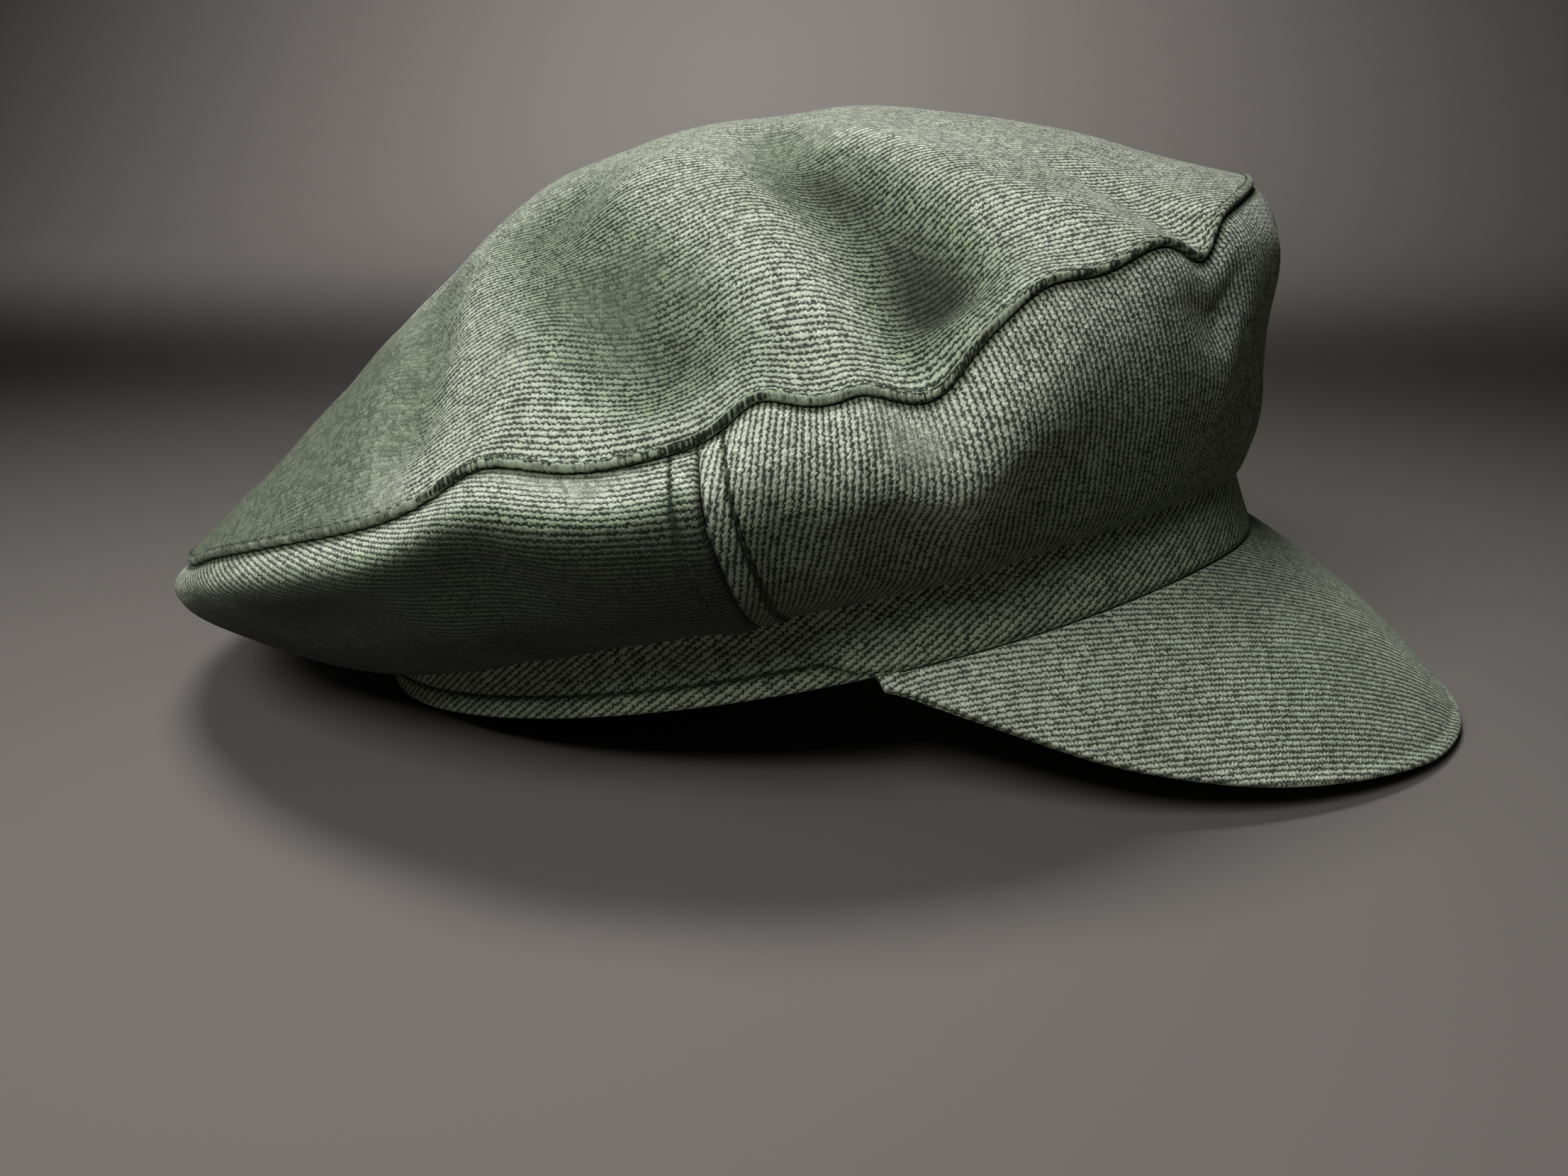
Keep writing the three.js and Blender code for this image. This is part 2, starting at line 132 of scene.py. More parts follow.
@dataclass(frozen=True)
class Table:
    """Rows whose first column is a place, with a smooth curve through each other column.

    Between two rows the curve is a cubic. Its slope at a row is that of the chord between the rows
    on both sides. At an end it is 0 where the table is level, or else that of the last chord.
    """

    rows: tuple[tuple[float, ...], ...]
    level: bool = False

    def at(self, x: np.ndarray, column: int = 1) -> np.ndarray:
        """Values of a column's curve.

        Args:
            x: Places, held within the table's ends.
            column: Which column to follow.

        Returns:
            An array of the shape of x.
        """
        data = np.array(self.rows, float)
        xs, ys = data[:, 0], data[:, column]
        slope = np.zeros(len(xs))
        slope[1:-1] = (ys[2:] - ys[:-2]) / (xs[2:] - xs[:-2])
        if not self.level:
            slope[0] = (ys[1] - ys[0]) / (xs[1] - xs[0])
            slope[-1] = (ys[-1] - ys[-2]) / (xs[-1] - xs[-2])
        held = np.clip(x, xs[0], xs[-1])
        i = np.clip(np.searchsorted(xs, held, side="right") - 1, 0, len(xs) - 2)
        step = xs[i + 1] - xs[i]
        q = (held - xs[i]) / step
        return (
            (2 * q**3 - 3 * q**2 + 1) * ys[i]
            + (q**3 - 2 * q**2 + q) * step * slope[i]
            + (3 * q**2 - 2 * q**3) * ys[i + 1]
            + (q**3 - q**2) * step * slope[i + 1]
        )


@dataclass(frozen=True)
class Fold:
    """A rounded ridge or valley of the top panel along a line of places.

    width is a half width as a share of half of the crown's length, rise (+) or depth (-) a share
    of its height, and a place of the line is a share of half of the crown's length ahead of the
    band's middle and a share of half of its width to the near side.
    """

    width: float
    rise: float
    line: tuple[tuple[float, float], ...]
    fade: float = 0.2


# Height of the seam round the cap. Columns: degrees from the front; share of the seam's height.
SEAM_LINE = Table(
    (
        (0, 1.0), (12, 0.993), (25, 0.965), (37, 0.943),
        (48, 0.929), (55, 0.865), (63, 0.78), (73, 0.794),
        (90, 0.763), (105, 0.766), (117, 0.716), (130, 0.685),
        (142, 0.645), (150, 0.603), (165, 0.56), (180, 0.546),
    ),
    level=True,
)

# Puckers of the seam on the near side.
# Columns: degrees from the front; half width in degrees; rise as a share of the seam's height.
PUCKERS = (
    (103.5, 5.5, 0.054),
    (78, 3.8, 0.061),
    (68.5, 2.5, 0.021),
    (62, 3.6, -0.035),
    (50, 6, 0.021),
    (43, 4, -0.012),
    (35.5, 4, 0.011),
    (27, 3.6, -0.083),
)

# Sections of the side panels. Columns: degrees from the front; height of the foot as a share of
# the band's; then, as shares of the seam's height, how far the lower guide point lies out from and
# above the foot, and how far the upper one lies out from and below the seam.
SIDE_SECTIONS = Table(
    (
        (0, 0.806, 0.085, 0.085, 0.175, 0.165),
        (12, 0.806, 0.085, 0.085, 0.165, 0.18),
        (45, 0.833, 0.156, 0.014, 0.128, 0.284),
        (62, 0.833, 0.19, 0.0, 0.24, 0.24),
        (84, 0.833, 0.227, 0.0, 0.36, 0.18),
        (115, 0.75, 0.255, 0.0, 0.31, 0.13),
        (142, 0.444, 0.17, 0.043, 0.26, 0.1),
        (165, 0.389, 0.17, 0.043, 0.262, 0.1),
        (180, 0.389, 0.17, 0.043, 0.262, 0.1),
    ),
    level=True,
)

# Dents and swellings of the side panels. Columns: degrees from the front; height on the panel as
# a share; half width in degrees; half height as a share; depth (+ out) as a share of the seam's
# height.
SIDE_DENTS = (
    (0, 0.5, 42, 0.25, -0.035),
    (27, 0.8, 6, 0.12, -0.04),
    (52, 0.72, 10, 0.2, 0.03),
    (66, 0.5, 7, 0.3, -0.03),
    (128, 0.6, 12, 0.16, -0.028),
    (67, 0.71, 13, 0.1, 0.026),
    (70, 0.45, 14, 0.16, -0.02),
    (106, 0.83, 24, 0.09, 0.028),
    (108, 0.58, 24, 0.16, -0.02),
)

# Fall of the top panel from its highest place to the seam. Columns: share of the way out; share of
# the fall reached toward the front, the sides and the back.
TOP_FALL = Table(
    (
        (-0.15, 0.025, 0.02, 0.01),
        (0, 0, 0, 0),
        (0.15, 0.025, 0.02, 0.01),
        (0.3, 0.085, 0.08, 0.1),
        (0.5, 0.27, 0.25, 0.33),
        (0.7, 0.53, 0.5, 0.63),
        (0.85, 0.78, 0.75, 0.815),
        (1, 1, 1, 1),
    )
)

TOP_FOLDS = (
    Fold(
        0.092,
        -0.052,
        ((0.07, 0.17), (0.17, 0.26), (0.24, 0.38), (0.3, 0.49), (0.37, 0.61), (0.43, 0.72), (0.46, 0.84)),
    ),
    Fold(0.08, 0.025, ((0.13, 0.11), (0.23, 0.23), (0.36, 0.38), (0.48, 0.49), (0.6, 0.53), (0.72, 0.53))),
    Fold(
        0.104,
        -0.038,
        ((-0.25, 0.2), (-0.22, 0.33), (-0.17, 0.46), (-0.1, 0.61), (-0.02, 0.73), (0.05, 0.82), (0.14, 0.91)),
    ),
    Fold(0.084, 0.021, ((-0.1, 0.27), (0.07, 0.45), (0.15, 0.6), (0.21, 0.72), (0.25, 0.79), (0.3, 0.88))),
    Fold(
        0.05,
        -0.03,
        ((-0.58, 0.12), (-0.51, 0.22), (-0.41, 0.41), (-0.38, 0.58), (-0.37, 0.76), (-0.375, 0.94)),
    ),
)

# Painted shade and light on the top panel: darker spots where it lies in shade, and one paler spot along
# the top. Columns: place ahead; place to the left; half length; half width; change of wear_light_and_shade.
# Places and lengths are in mm.
PAINTED_LIGHT_AND_SHADE = (
    (4, -78, 16, 14, -0.25),
    (12, -93, 14, 9, -0.5),
    (30, -49, 14, 15, -0.45),
    (49, -78, 10, 14, -0.8),
    (-8, -72, 16, 14, -0.2),
    (66, -52, 22, 9, -0.15),
    (32, -31, 28, 9, 0.4),
)

# Outer edge of the peak. Columns: degrees round its own oval from the front; share of its drop.
PEAK_EDGE = Table(
    (
        (0, 1.0), (8, 0.996), (16, 0.981), (25, 0.947),
        (35, 0.877), (44, 0.804), (51, 0.736), (58, 0.651),
        (66, 0.532), (71, 0.442), (77, 0.313), (83, 0.181),
        (88, 0.075), (92, 0.03),
    )
)


@dataclass(frozen=True)
class CapForm:
    """The cap's main sizes in mm, and the surfaces that its pieces are cut from."""

    band_length: float = 203
    band_width: float = 167
    band_height: float = 18
    band_lean: float = 2
    band_wall: float = 2
    band_dip: float = 3.5
    crown_length: float = 251
    crown_width: float = 220
    crown_setback: float = 13
    crown_height: float = 105.5
    seam_height: float = 70.5
    cloth: float = 1.5
    side_seam_turn: float = 84
    peak_reach: float = 38.5
    peak_drop: float = 53
    peak_width: float = 167
    peak_corner_turn: float = 71
    peak_cover: float = 1.4
    peak_bow: float = 0.05
    peak_edge_end: float = 91
    peak_oval_middle: float = 0.296
    peak_corner_tuck: float = 0.028
    gap: float = 0.3
    tip: float = 12.868863686
    shift: tuple[float, float, float] = (-1.181265, 0.477177, 22.576837)

    def lie(self, places: np.ndarray) -> np.ndarray:
        """Places in mm, tipped nose up by the tip angle and shifted as the cap lies, in metres."""
        c, s = math.cos(math.radians(self.tip)), math.sin(math.radians(self.tip))
        x, y, z = np.moveaxis(places, -1, 0)
        lain = np.stack([x * c - z * s, y, x * s + z * c], axis=-1)
        return (lain + np.array(self.shift)) * MM

    def axes(self, directions: np.ndarray) -> np.ndarray:
        """Directions tipped as lie() tips places."""
        return (self.lie(directions) - self.lie(np.zeros(3))) / MM

    @staticmethod
    def from_front(turn: np.ndarray) -> np.ndarray:
        """Degrees from the front, 0 to 180 on either side."""
        t = np.mod(turn, 360.0)
        return np.where(t > 180, 360 - t, t)

    @staticmethod
    def near_share(turn: np.ndarray) -> np.ndarray:
        """1 on the near side and 0 on the far one: 1 over 1 plus e to the power -9 sin t."""
        return 1 / (1 + np.exp(-9 * np.sin(np.radians(turn))))

    @staticmethod
    def oval(turn: np.ndarray, length: float, width: float, ahead: float = 0) -> np.ndarray:
        """Distance from the axis to an oval, from the ellipse's equation solved for the radius.

        Args:
            turn: Degrees from the front.
            length: The oval's length, front to back.
            width: Its width.
            ahead: How far its middle lies ahead of the axis.

        Returns:
            Radii in mm.
        """
        c, s = np.cos(np.radians(turn)), np.sin(np.radians(turn))
        half_length, half_width = length / 2, width / 2
        a = (c / half_length) ** 2 + (s / half_width) ** 2
        b = -2 * ahead * c / half_length**2
        k = (ahead / half_length) ** 2 - 1
        return (-b + np.sqrt(b * b - 4 * a * k)) / (2 * a)

    def band_radius(self, turn: np.ndarray) -> np.ndarray:
        """Radius of the band's foot."""
        return self.oval(turn, self.band_length, self.band_width)

    def seam_radius(self, turn: np.ndarray) -> np.ndarray:
        """Radius of the top panel's seam."""
        return self.oval(turn, self.crown_length, self.crown_width, -self.crown_setback)

    def front_dip(self, turn: np.ndarray) -> np.ndarray:
        """How far the foot sinks at the front: a bell curve 20 degrees wide."""
        return self.band_dip * bell(self.from_front(turn) / 20)

    def plain_seam(self, turn: np.ndarray) -> np.ndarray:
        """Height of the seam without its puckers."""
        return self.seam_height * SEAM_LINE.at(self.from_front(turn))

    def pucker(self, turn: np.ndarray) -> np.ndarray:
        """Height that the puckers add to the seam: bell curves on the near side.

        Args:
            turn: Degrees from the front.

        Returns:
            Heights in mm.
        """
        t = np.mod(turn, 360.0)
        rise = sum(share * bell((t - at) / width) for at, width, share in PUCKERS)
        return self.seam_height * rise * self.near_share(turn)

    def fold_height(self, fold: Fold, x: np.ndarray, y: np.ndarray) -> np.ndarray:
        """Height that a fold adds: its rise times a bell curve of the distance from its line.

        Args:
            fold: The fold.
            x: Places ahead of the band's middle.
            y: Places to the wearer's left.

        Returns:
            Heights in mm, fading over a share of the line at both of its ends.
        """
        line = np.array(fold.line) * [self.crown_length / 2, -self.crown_width / 2]
        nearest = np.full(np.shape(x), np.inf)
        along = np.zeros(np.shape(x))
        length = 0.0
        for (ax, ay), (bx, by) in zip(line[:-1], line[1:]):
            step = math.hypot(bx - ax, by - ay)
            q = np.clip(((x - ax) * (bx - ax) + (y - ay) * (by - ay)) / step**2, 0, 1)
            away = np.hypot(x - ax - q * (bx - ax), y - ay - q * (by - ay))
            along = np.where(away < nearest, length + q * step, along)
            nearest = np.minimum(nearest, away)
            length += step
        end = ramp(np.minimum(along, length - along) / (fold.fade * length))
        return self.crown_height * fold.rise * end * bell(nearest / (fold.width * self.crown_length / 2))

    def top_height(self, x: np.ndarray, y: np.ndarray, folds: tuple[Fold, ...] = TOP_FOLDS) -> np.ndarray:
        """Height of the top panel's outer face over a place in plan.

        It is the crown's height less its fall to the seam, which the table gives for the front,
        the sides and the back, blended by the square of the turn's cosine, plus the folds.

        Args:
            x: Places ahead of the band's middle.
            y: Places to the wearer's left.
            folds: The folds to add.

        Returns:
            Heights in mm.
        """
        turn = np.degrees(np.arctan2(-y, x))
        out = np.minimum(np.hypot(x, y) / self.seam_radius(turn), 1.2)
        c = np.cos(np.radians(turn))
        ahead, behind = np.where(c > 0, c * c, 0), np.where(c < 0, c * c, 0)
        fall = (
            ahead * TOP_FALL.at(out, 1)
            + (1 - ahead - behind) * TOP_FALL.at(out, 2)
            + behind * TOP_FALL.at(out, 3)
        )
        seam = self.plain_seam(turn) + self.pucker(turn) * np.minimum(out, 1) ** 6
        height = self.crown_height - (self.crown_height - seam) * fall
        inside = ramp((1 - out) * 8)
        return height + inside * sum(self.fold_height(fold, x, y) for fold in folds)

    def top(self, turn: np.ndarray, share: np.ndarray) -> np.ndarray:
        """Places of the top panel's outer face at a turn and a share of the way out.

        Args:
            turn: Degrees from the front.
            share: Share of the way from the axis to the seam.

        Returns:
            Places in mm.
        """
        flat = spot(turn, self.seam_radius(turn) * share, 0.0)
        flat[..., 2] = self.top_height(flat[..., 0], flat[..., 1])
        return flat

    def top_normal(self, places: np.ndarray) -> np.ndarray:
        """Outward normals of the top panel, from small differences of its height.

        Args:
            places: Places of the panel.

        Returns:
            Vectors of length 1.
        """
        x, y, d = places[..., 0], places[..., 1], 0.05
        sx = (self.top_height(x + d, y) - self.top_height(x - d, y)) / (2 * d)
        sy = (self.top_height(x, y + d) - self.top_height(x, y - d)) / (2 * d)
        return unit(np.stack([-sx, -sy, np.ones_like(sx)], axis=-1))

    def seam_under(self, turn: np.ndarray) -> tuple[np.ndarray, np.ndarray]:
        """Radius and height just under the top panel's edge, where a side panel's top edge lies.

        Args:
            turn: Degrees from the front.

        Returns:
            Radii and heights in mm.
        """
        r = self.seam_radius(turn)
        edge, inner = spot(turn, r, 0.0), spot(turn, r - 1, 0.0)
        fall = self.top_height(inner[..., 0], inner[..., 1]) - self.top_height(edge[..., 0], edge[..., 1])
        slope = np.arctan(fall)
        z = self.plain_seam(turn) + self.pucker(turn)
        step = 0.5
        along = (self.pucker(turn + step) - self.pucker(turn - step)) / (2 * np.radians(step) * r)
        lean = self.cloth * (np.sqrt(1 + along * along) - 1)
        return (
            r - self.cloth * np.sin(slope) + self.gap / 2,
            z - self.cloth * np.cos(slope) - self.gap - lean,
        )

    def side(self, turn: np.ndarray, up: np.ndarray) -> np.ndarray:
        """Places of a side panel's outer face: up is 0 at the foot and 1 under the seam.

        A section is a cubic curve with four guide points, from the foot that laps the band to just
        under the top panel's edge, pushed along its normal by the dents.

        Args:
            turn: Degrees from the front.
            up: Share of the way up the section.

        Returns:
            Places in mm.
        """
        turn, up = np.broadcast_arrays(turn, up)
        t = self.from_front(turn)
        foot, low_out, low_up, high_out, high_down = (SIDE_SECTIONS.at(t, k) for k in range(1, 6))
        z0 = foot * self.band_height
        steep = low_up / np.hypot(low_out, low_up)
        r0 = self.band_radius(turn) - self.band_lean * z0 / self.band_height
        r0 = r0 + self.gap + self.cloth * steep
        r3, z3 = self.seam_under(turn)
        z0 = z0 - self.front_dip(turn)
        radii = (r0, r0 + low_out * self.seam_height, r3 + high_out * self.seam_height, r3)
        heights = (z0, z0 + low_up * self.seam_height, z3 - high_down * self.seam_height, z3)
        q = 1 - up
        blend = (q**3, 3 * up * q * q, 3 * up * up * q, up**3)
        r = sum(w * v for w, v in zip(blend, radii))
        z = sum(w * v for w, v in zip(blend, heights))
        rate = (q * q, 2 * up * q, up * up)
        dr = sum(w * (b - a) for w, a, b in zip(rate, radii[:-1], radii[1:]))
        dz = sum(w * (b - a) for w, a, b in zip(rate, heights[:-1], heights[1:]))
        length = np.hypot(dr, dz)
        dent = sum(
            share
            * (1 if at == 0 else self.near_share(turn))
            * bell((t - at) / width)
            * bell((up - high) / tall)
            for at, high, width, tall, share in SIDE_DENTS
        )
        push = dent * self.seam_height * np.clip(np.minimum(up, 1 - up) * 6, 0, 1)
        return spot(turn, r + push * dz / length, z - push * dr / length)

    def band(self, turn: np.ndarray, up: np.ndarray) -> np.ndarray:
        """Places of the band's outer face: up is 0 at the foot and 1 at its top."""
        radius = self.band_radius(turn) - self.band_lean * up
        return spot(turn, radius, self.band_height * up - self.front_dip(turn))

    def peak(self, across: np.ndarray, out: np.ndarray) -> np.ndarray:
        """Places of the peak's upper face: across is -1 to 1, out is 0 at the band and 1 at the edge.

        Each line from the band to the edge is straight but for a sine's rise that fades toward the
        corners.

        Args:
            across: Share of the way from the middle to the near corner, less than 0 to the far one.
            out: Share of the way from the band to the edge.

        Returns:
            Places in mm.
        """
        across, out = np.broadcast_arrays(across, out)
        turn = across * self.peak_corner_turn
        root = spot(turn, self.band_radius(turn) - self.gap, -self.gap - self.front_dip(turn))
        edge = np.radians(across * self.peak_edge_end)
        middle = self.peak_oval_middle * self.band_length / 2
        narrow = 1 - self.peak_corner_tuck * np.abs(across) ** 6
        rim = np.stack(
            [
                middle + (self.band_length / 2 + self.peak_reach - middle) * np.cos(edge),
                -self.peak_width * narrow / 2 * np.sin(edge),
                -self.peak_drop * PEAK_EDGE.at(np.abs(across * self.peak_edge_end)),
            ],
            axis=-1,
        )
        run = rim - root
        lift = spot(turn, -run[..., 2], np.hypot(run[..., 0], run[..., 1]))
        bow = self.peak_bow * np.sin(math.pi * out) * (1 - across**4)
        return root + run * out[..., None] + lift * bow[..., None]


def grid_normal(places: np.ndarray, sign: float) -> np.ndarray:
    """Normals of a grid of places: the cross product of its steps along both axes."""
    return unit(np.cross(np.gradient(places, axis=0), np.gradient(places, axis=1))) * sign


def arc(places: np.ndarray, axis: int) -> np.ndarray:
    """Lengths along a grid's lines, added up from their first place.

    Args:
        places: A grid of places.
        axis: The axis that the lines run along.

    Returns:
        Lengths, in the grid's shape.
    """
    steps = np.linalg.norm(np.diff(places, axis=axis), axis=-1)
    start = np.zeros_like(np.take(steps, [0], axis=axis))
    return np.concatenate([start, np.cumsum(steps, axis=axis)], axis=axis)


def spread(parts: tuple[tuple[float, float, int], ...]) -> np.ndarray:
    """Numbers in rising order from runs of (start, end, steps) that join end to end.

    Args:
        parts: The runs.

    Returns:
        The numbers, with both ends.
    """
    runs = [np.linspace(a, b, n + 1)[:-1] for a, b, n in parts]
    return np.concatenate([*runs, [parts[-1][1]]])


class ClothMesh:
    """Builds a closed mesh from grids of places, with the cloth's own coordinates as a UV map."""

    def __init__(self, name: str, form: CapForm) -> None:
        """Starts an empty mesh for a piece of that name."""
        self.name = name
        self.form = form
        self.places: list[np.ndarray] = []
        self.flats: list[np.ndarray] = []
        self.wears_with_light_and_shade: list[np.ndarray] = []
        self.naps: list[np.ndarray] = []
        self.faces: list[np.ndarray] = []
        self.count = 0

    def points(
        self, places: np.ndarray, flat: np.ndarray, wear_light_and_shade: np.ndarray, nap: np.ndarray | float = 0.0
    ) -> np.ndarray:
        """Adds places with their cloth coordinates in mm, worn paleness with painted light and shade, and
        nap.

        Args:
            places: Places in the cap's frame.
            flat: Two cloth coordinates for each place, along the wales and across them.
            wear_light_and_shade: Worn paleness with painted light and shade, from 0, dark and unworn, to 1,
                pale and worn, for each place. Below 0 it is painted shade.
            nap: How far the wales are rubbed into fuzz, from 0 to 1, for each place.

        Returns:
            The places' numbers in the mesh, in the shape of the grid.
        """
        shape = places.shape[:-1]
        numbers = np.arange(int(np.prod(shape))).reshape(shape) + self.count
        self.count += numbers.size
        self.places.append(places.reshape(-1, 3))
        self.flats.append(np.broadcast_to(flat, (*shape, 2)).reshape(-1, 2))
        self.wears_with_light_and_shade.append(np.broadcast_to(wear_light_and_shade, shape).reshape(-1))
        self.naps.append(np.broadcast_to(nap, shape).reshape(-1))
        return numbers

    def quads(self, numbers: np.ndarray) -> None:
        """Adds the four-sided faces between neighbours of a grid of numbers."""
        a, b = numbers[:-1, :-1], numbers[1:, :-1]
        c, d = numbers[1:, 1:], numbers[:-1, 1:]
        self.faces.append(np.stack([a, b, c, d], axis=-1).reshape(-1, 4))

    def fan(self, middle: int, rim: np.ndarray) -> None:
        """Adds triangles from one place to each step of a rim.

        Args:
            middle: The place's number.
            rim: The rim's numbers in order.
        """
        middles = np.full(len(rim) - 1, middle)
        self.faces.append(np.stack([middles, rim[:-1], rim[1:], np.full(len(rim) - 1, -1)], axis=-1))

    def finish(self, material: bpy.types.Material) -> bpy.types.Object:
        """Makes the object, welds its doubles, turns its faces outwards and dresses it.

        Args:
            material: The piece's material.

        Returns:
            The finished object, riding on the cap's body.
        """
        places = self.form.lie(np.concatenate(self.places))
        flats = np.concatenate(self.flats) * MM
        wears_with_light_and_shade = np.concatenate(self.wears_with_light_and_shade)
        faces = np.concatenate(self.faces)
        solid = faces[:, 3] >= 0
        loops = np.concatenate([faces[solid].ravel(), faces[~solid][:, :3].ravel()])
        sizes = np.concatenate([np.full(solid.sum(), 4), np.full((~solid).sum(), 3)])
        mesh = bpy.data.meshes.new(self.name)
        mesh.vertices.add(len(places))
        mesh.vertices.foreach_set("co", places.astype(np.float32).ravel())
        mesh.loops.add(len(loops))
        mesh.loops.foreach_set("vertex_index", loops.astype(np.int32))
        mesh.polygons.add(len(sizes))
        starts = np.concatenate([[0], np.cumsum(sizes)[:-1]])
        mesh.polygons.foreach_set("loop_start", starts.astype(np.int32))
        mesh.polygons.foreach_set("use_smooth", np.ones(len(sizes), bool))
        mesh.update(calc_edges=True)
        uv = mesh.uv_layers.new(name="cloth")
        uv.data.foreach_set("uv", flats[loops].astype(np.float32).ravel())
        # Worn paleness with painted light and shade goes on as one attribute, nap as another.
        for name, values in (("wear_light_and_shade", wears_with_light_and_shade), ("nap", np.concatenate(self.naps))):
            kept = mesh.attributes.new(name, "FLOAT", "POINT")
            kept.data.foreach_set("value", values.astype(np.float32))
        weld(mesh)
        piece = bpy.data.objects.new(self.name, mesh)
        show(piece)
        mesh.materials.append(material)
        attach(piece, "root")
        log.info("%s: %d faces", self.name, len(mesh.polygons))
        return piece


def weld(mesh: bpy.types.Mesh) -> None:
    """Merges places that coincide and turns every face outwards.

    Args:
        mesh: The mesh to mend.
    """
    work = bmesh.new()
    work.from_mesh(mesh)
    bmesh.ops.remove_doubles(work, verts=work.verts, dist=1e-7)
    bmesh.ops.recalc_face_normals(work, faces=work.faces)
    work.to_mesh(mesh)
    work.free()


class Tree:
    """A node tree under construction."""

    def __init__(self, tree: bpy.types.NodeTree) -> None:
        """Works on a material's or a group's tree."""
        self.tree = tree

    def node(self, kind: str, **settings: object) -> bpy.types.Node:
        """Adds a node of a kind with its settings.

        Args:
            kind: The node's type.
            settings: Its properties by name.

        Returns:
            The node.
        """
        made = self.tree.nodes.new(kind)
        for key, value in settings.items():
            setattr(made, key, value)
        return made

    def plug(self, socket: bpy.types.NodeSocket, value: object) -> None:
        """Links a socket to another one, or sets its value.

        Args:
            socket: The input to feed.
            value: A socket, or a number or colour.
        """
        if isinstance(value, bpy.types.NodeSocket):
            self.tree.links.new(value, socket)
        else:
            socket.default_value = value

    def math(self, operation: str, *values: object) -> bpy.types.NodeSocket:
        """Adds a Math node on values or sockets and returns its result.

        Args:
            operation: The node's operation.
            values: What goes into it, in order.

        Returns:
            Its output.
        """
        made = self.node("ShaderNodeMath", operation=operation)
        for socket, value in zip(made.inputs, values):
            self.plug(socket, value)
        return made.outputs[0]

    def times(self, a: object, b: object) -> bpy.types.NodeSocket:
        """The product of two values or sockets."""
        return self.math("MULTIPLY", a, b)

    def plus(self, a: object, b: object) -> bpy.types.NodeSocket:
        """The sum of two values or sockets."""
        return self.math("ADD", a, b)

    def less(self, a: object, b: object) -> bpy.types.NodeSocket:
        """The first value or socket less the second."""
        return self.math("SUBTRACT", a, b)

    def times_plus(self, a: object, b: object, c: object) -> bpy.types.NodeSocket:
        """The product of the first two values or sockets, plus the third."""
        return self.math("MULTIPLY_ADD", a, b, c)

    def mix(self, share: object, a: object, b: object, blend: str = "MIX") -> bpy.types.NodeSocket:
        """Adds a colour Mix node and returns its colour.

        Args:
            share: How much of the second colour shows.
            a: The first colour.
            b: The second colour.
            blend: How they are blended.

        Returns:
            Its output.
        """
        made = self.node("ShaderNodeMix", data_type="RGBA", blend_type=blend)
        self.plug(made.inputs[0], share)
        self.plug(made.inputs[6], a)
        self.plug(made.inputs[7], b)
        return made.outputs[2]

    def noise(self, vector: object, scale: float, detail: float = 2.0) -> bpy.types.NodeSocket:
        """Adds a Noise Texture and returns its value.

        Args:
            vector: Where it is read.
            scale: Its scale.
            detail: Its detail.

        Returns:
            Its output.
        """
        made = self.node("ShaderNodeTexNoise")
        self.plug(made.inputs["Vector"], vector)
        made.inputs["Scale"].default_value = scale
        made.inputs["Detail"].default_value = detail
        return made.outputs[0]

    def smooth(self, value: object, low: float, high: float) -> bpy.types.NodeSocket:
        """Adds a smooth step between two limits and returns its result.

        Args:
            value: What is stepped.
            low: Where it is 0.
            high: Where it is 1.

        Returns:
            Its output.
        """
        made = self.node("ShaderNodeMapRange", interpolation_type="SMOOTHSTEP")
        self.plug(made.inputs["Value"], value)
        made.inputs["From Min"].default_value = low
        made.inputs["From Max"].default_value = high
        return made.outputs["Result"]


def new_group(name: str, values: dict[str, float], results: tuple[str, ...]) -> Tree:
    """Starts a shader node group whose first input is Cloth, a vector.

    Args:
        name: The group's name.
        values: Its other inputs, each with the value it has where nothing is set.
        results: Its outputs.

    Returns:
        The group's tree.
    """
    group = bpy.data.node_groups.new(name, "ShaderNodeTree")
    face = group.interface
    face.new_socket("Cloth", in_out="INPUT", socket_type="NodeSocketVector")
    for value_name, value in values.items():
        made = face.new_socket(value_name, in_out="INPUT", socket_type="NodeSocketFloat")
        made.default_value = value
    for result in results:
        face.new_socket(result, in_out="OUTPUT", socket_type="NodeSocketFloat")
    return Tree(group)


def new_material(name: str, roughness: float) -> tuple[bpy.types.Material, Tree, bpy.types.Node]:
    """Starts a material of low gloss.

    Args:
        name: The material's name.
        roughness: The roughness that is the same all over it.

    Returns:
        The material, its tree and its shader.
    """
    made = bpy.data.materials.new(name)
    made.use_nodes = True
    shader = made.node_tree.nodes["Principled BSDF"]
    shader.inputs["Roughness"].default_value = roughness
    shader.inputs["Specular IOR Level"].default_value = LOW_GLOSS
    return made, Tree(made.node_tree), shader


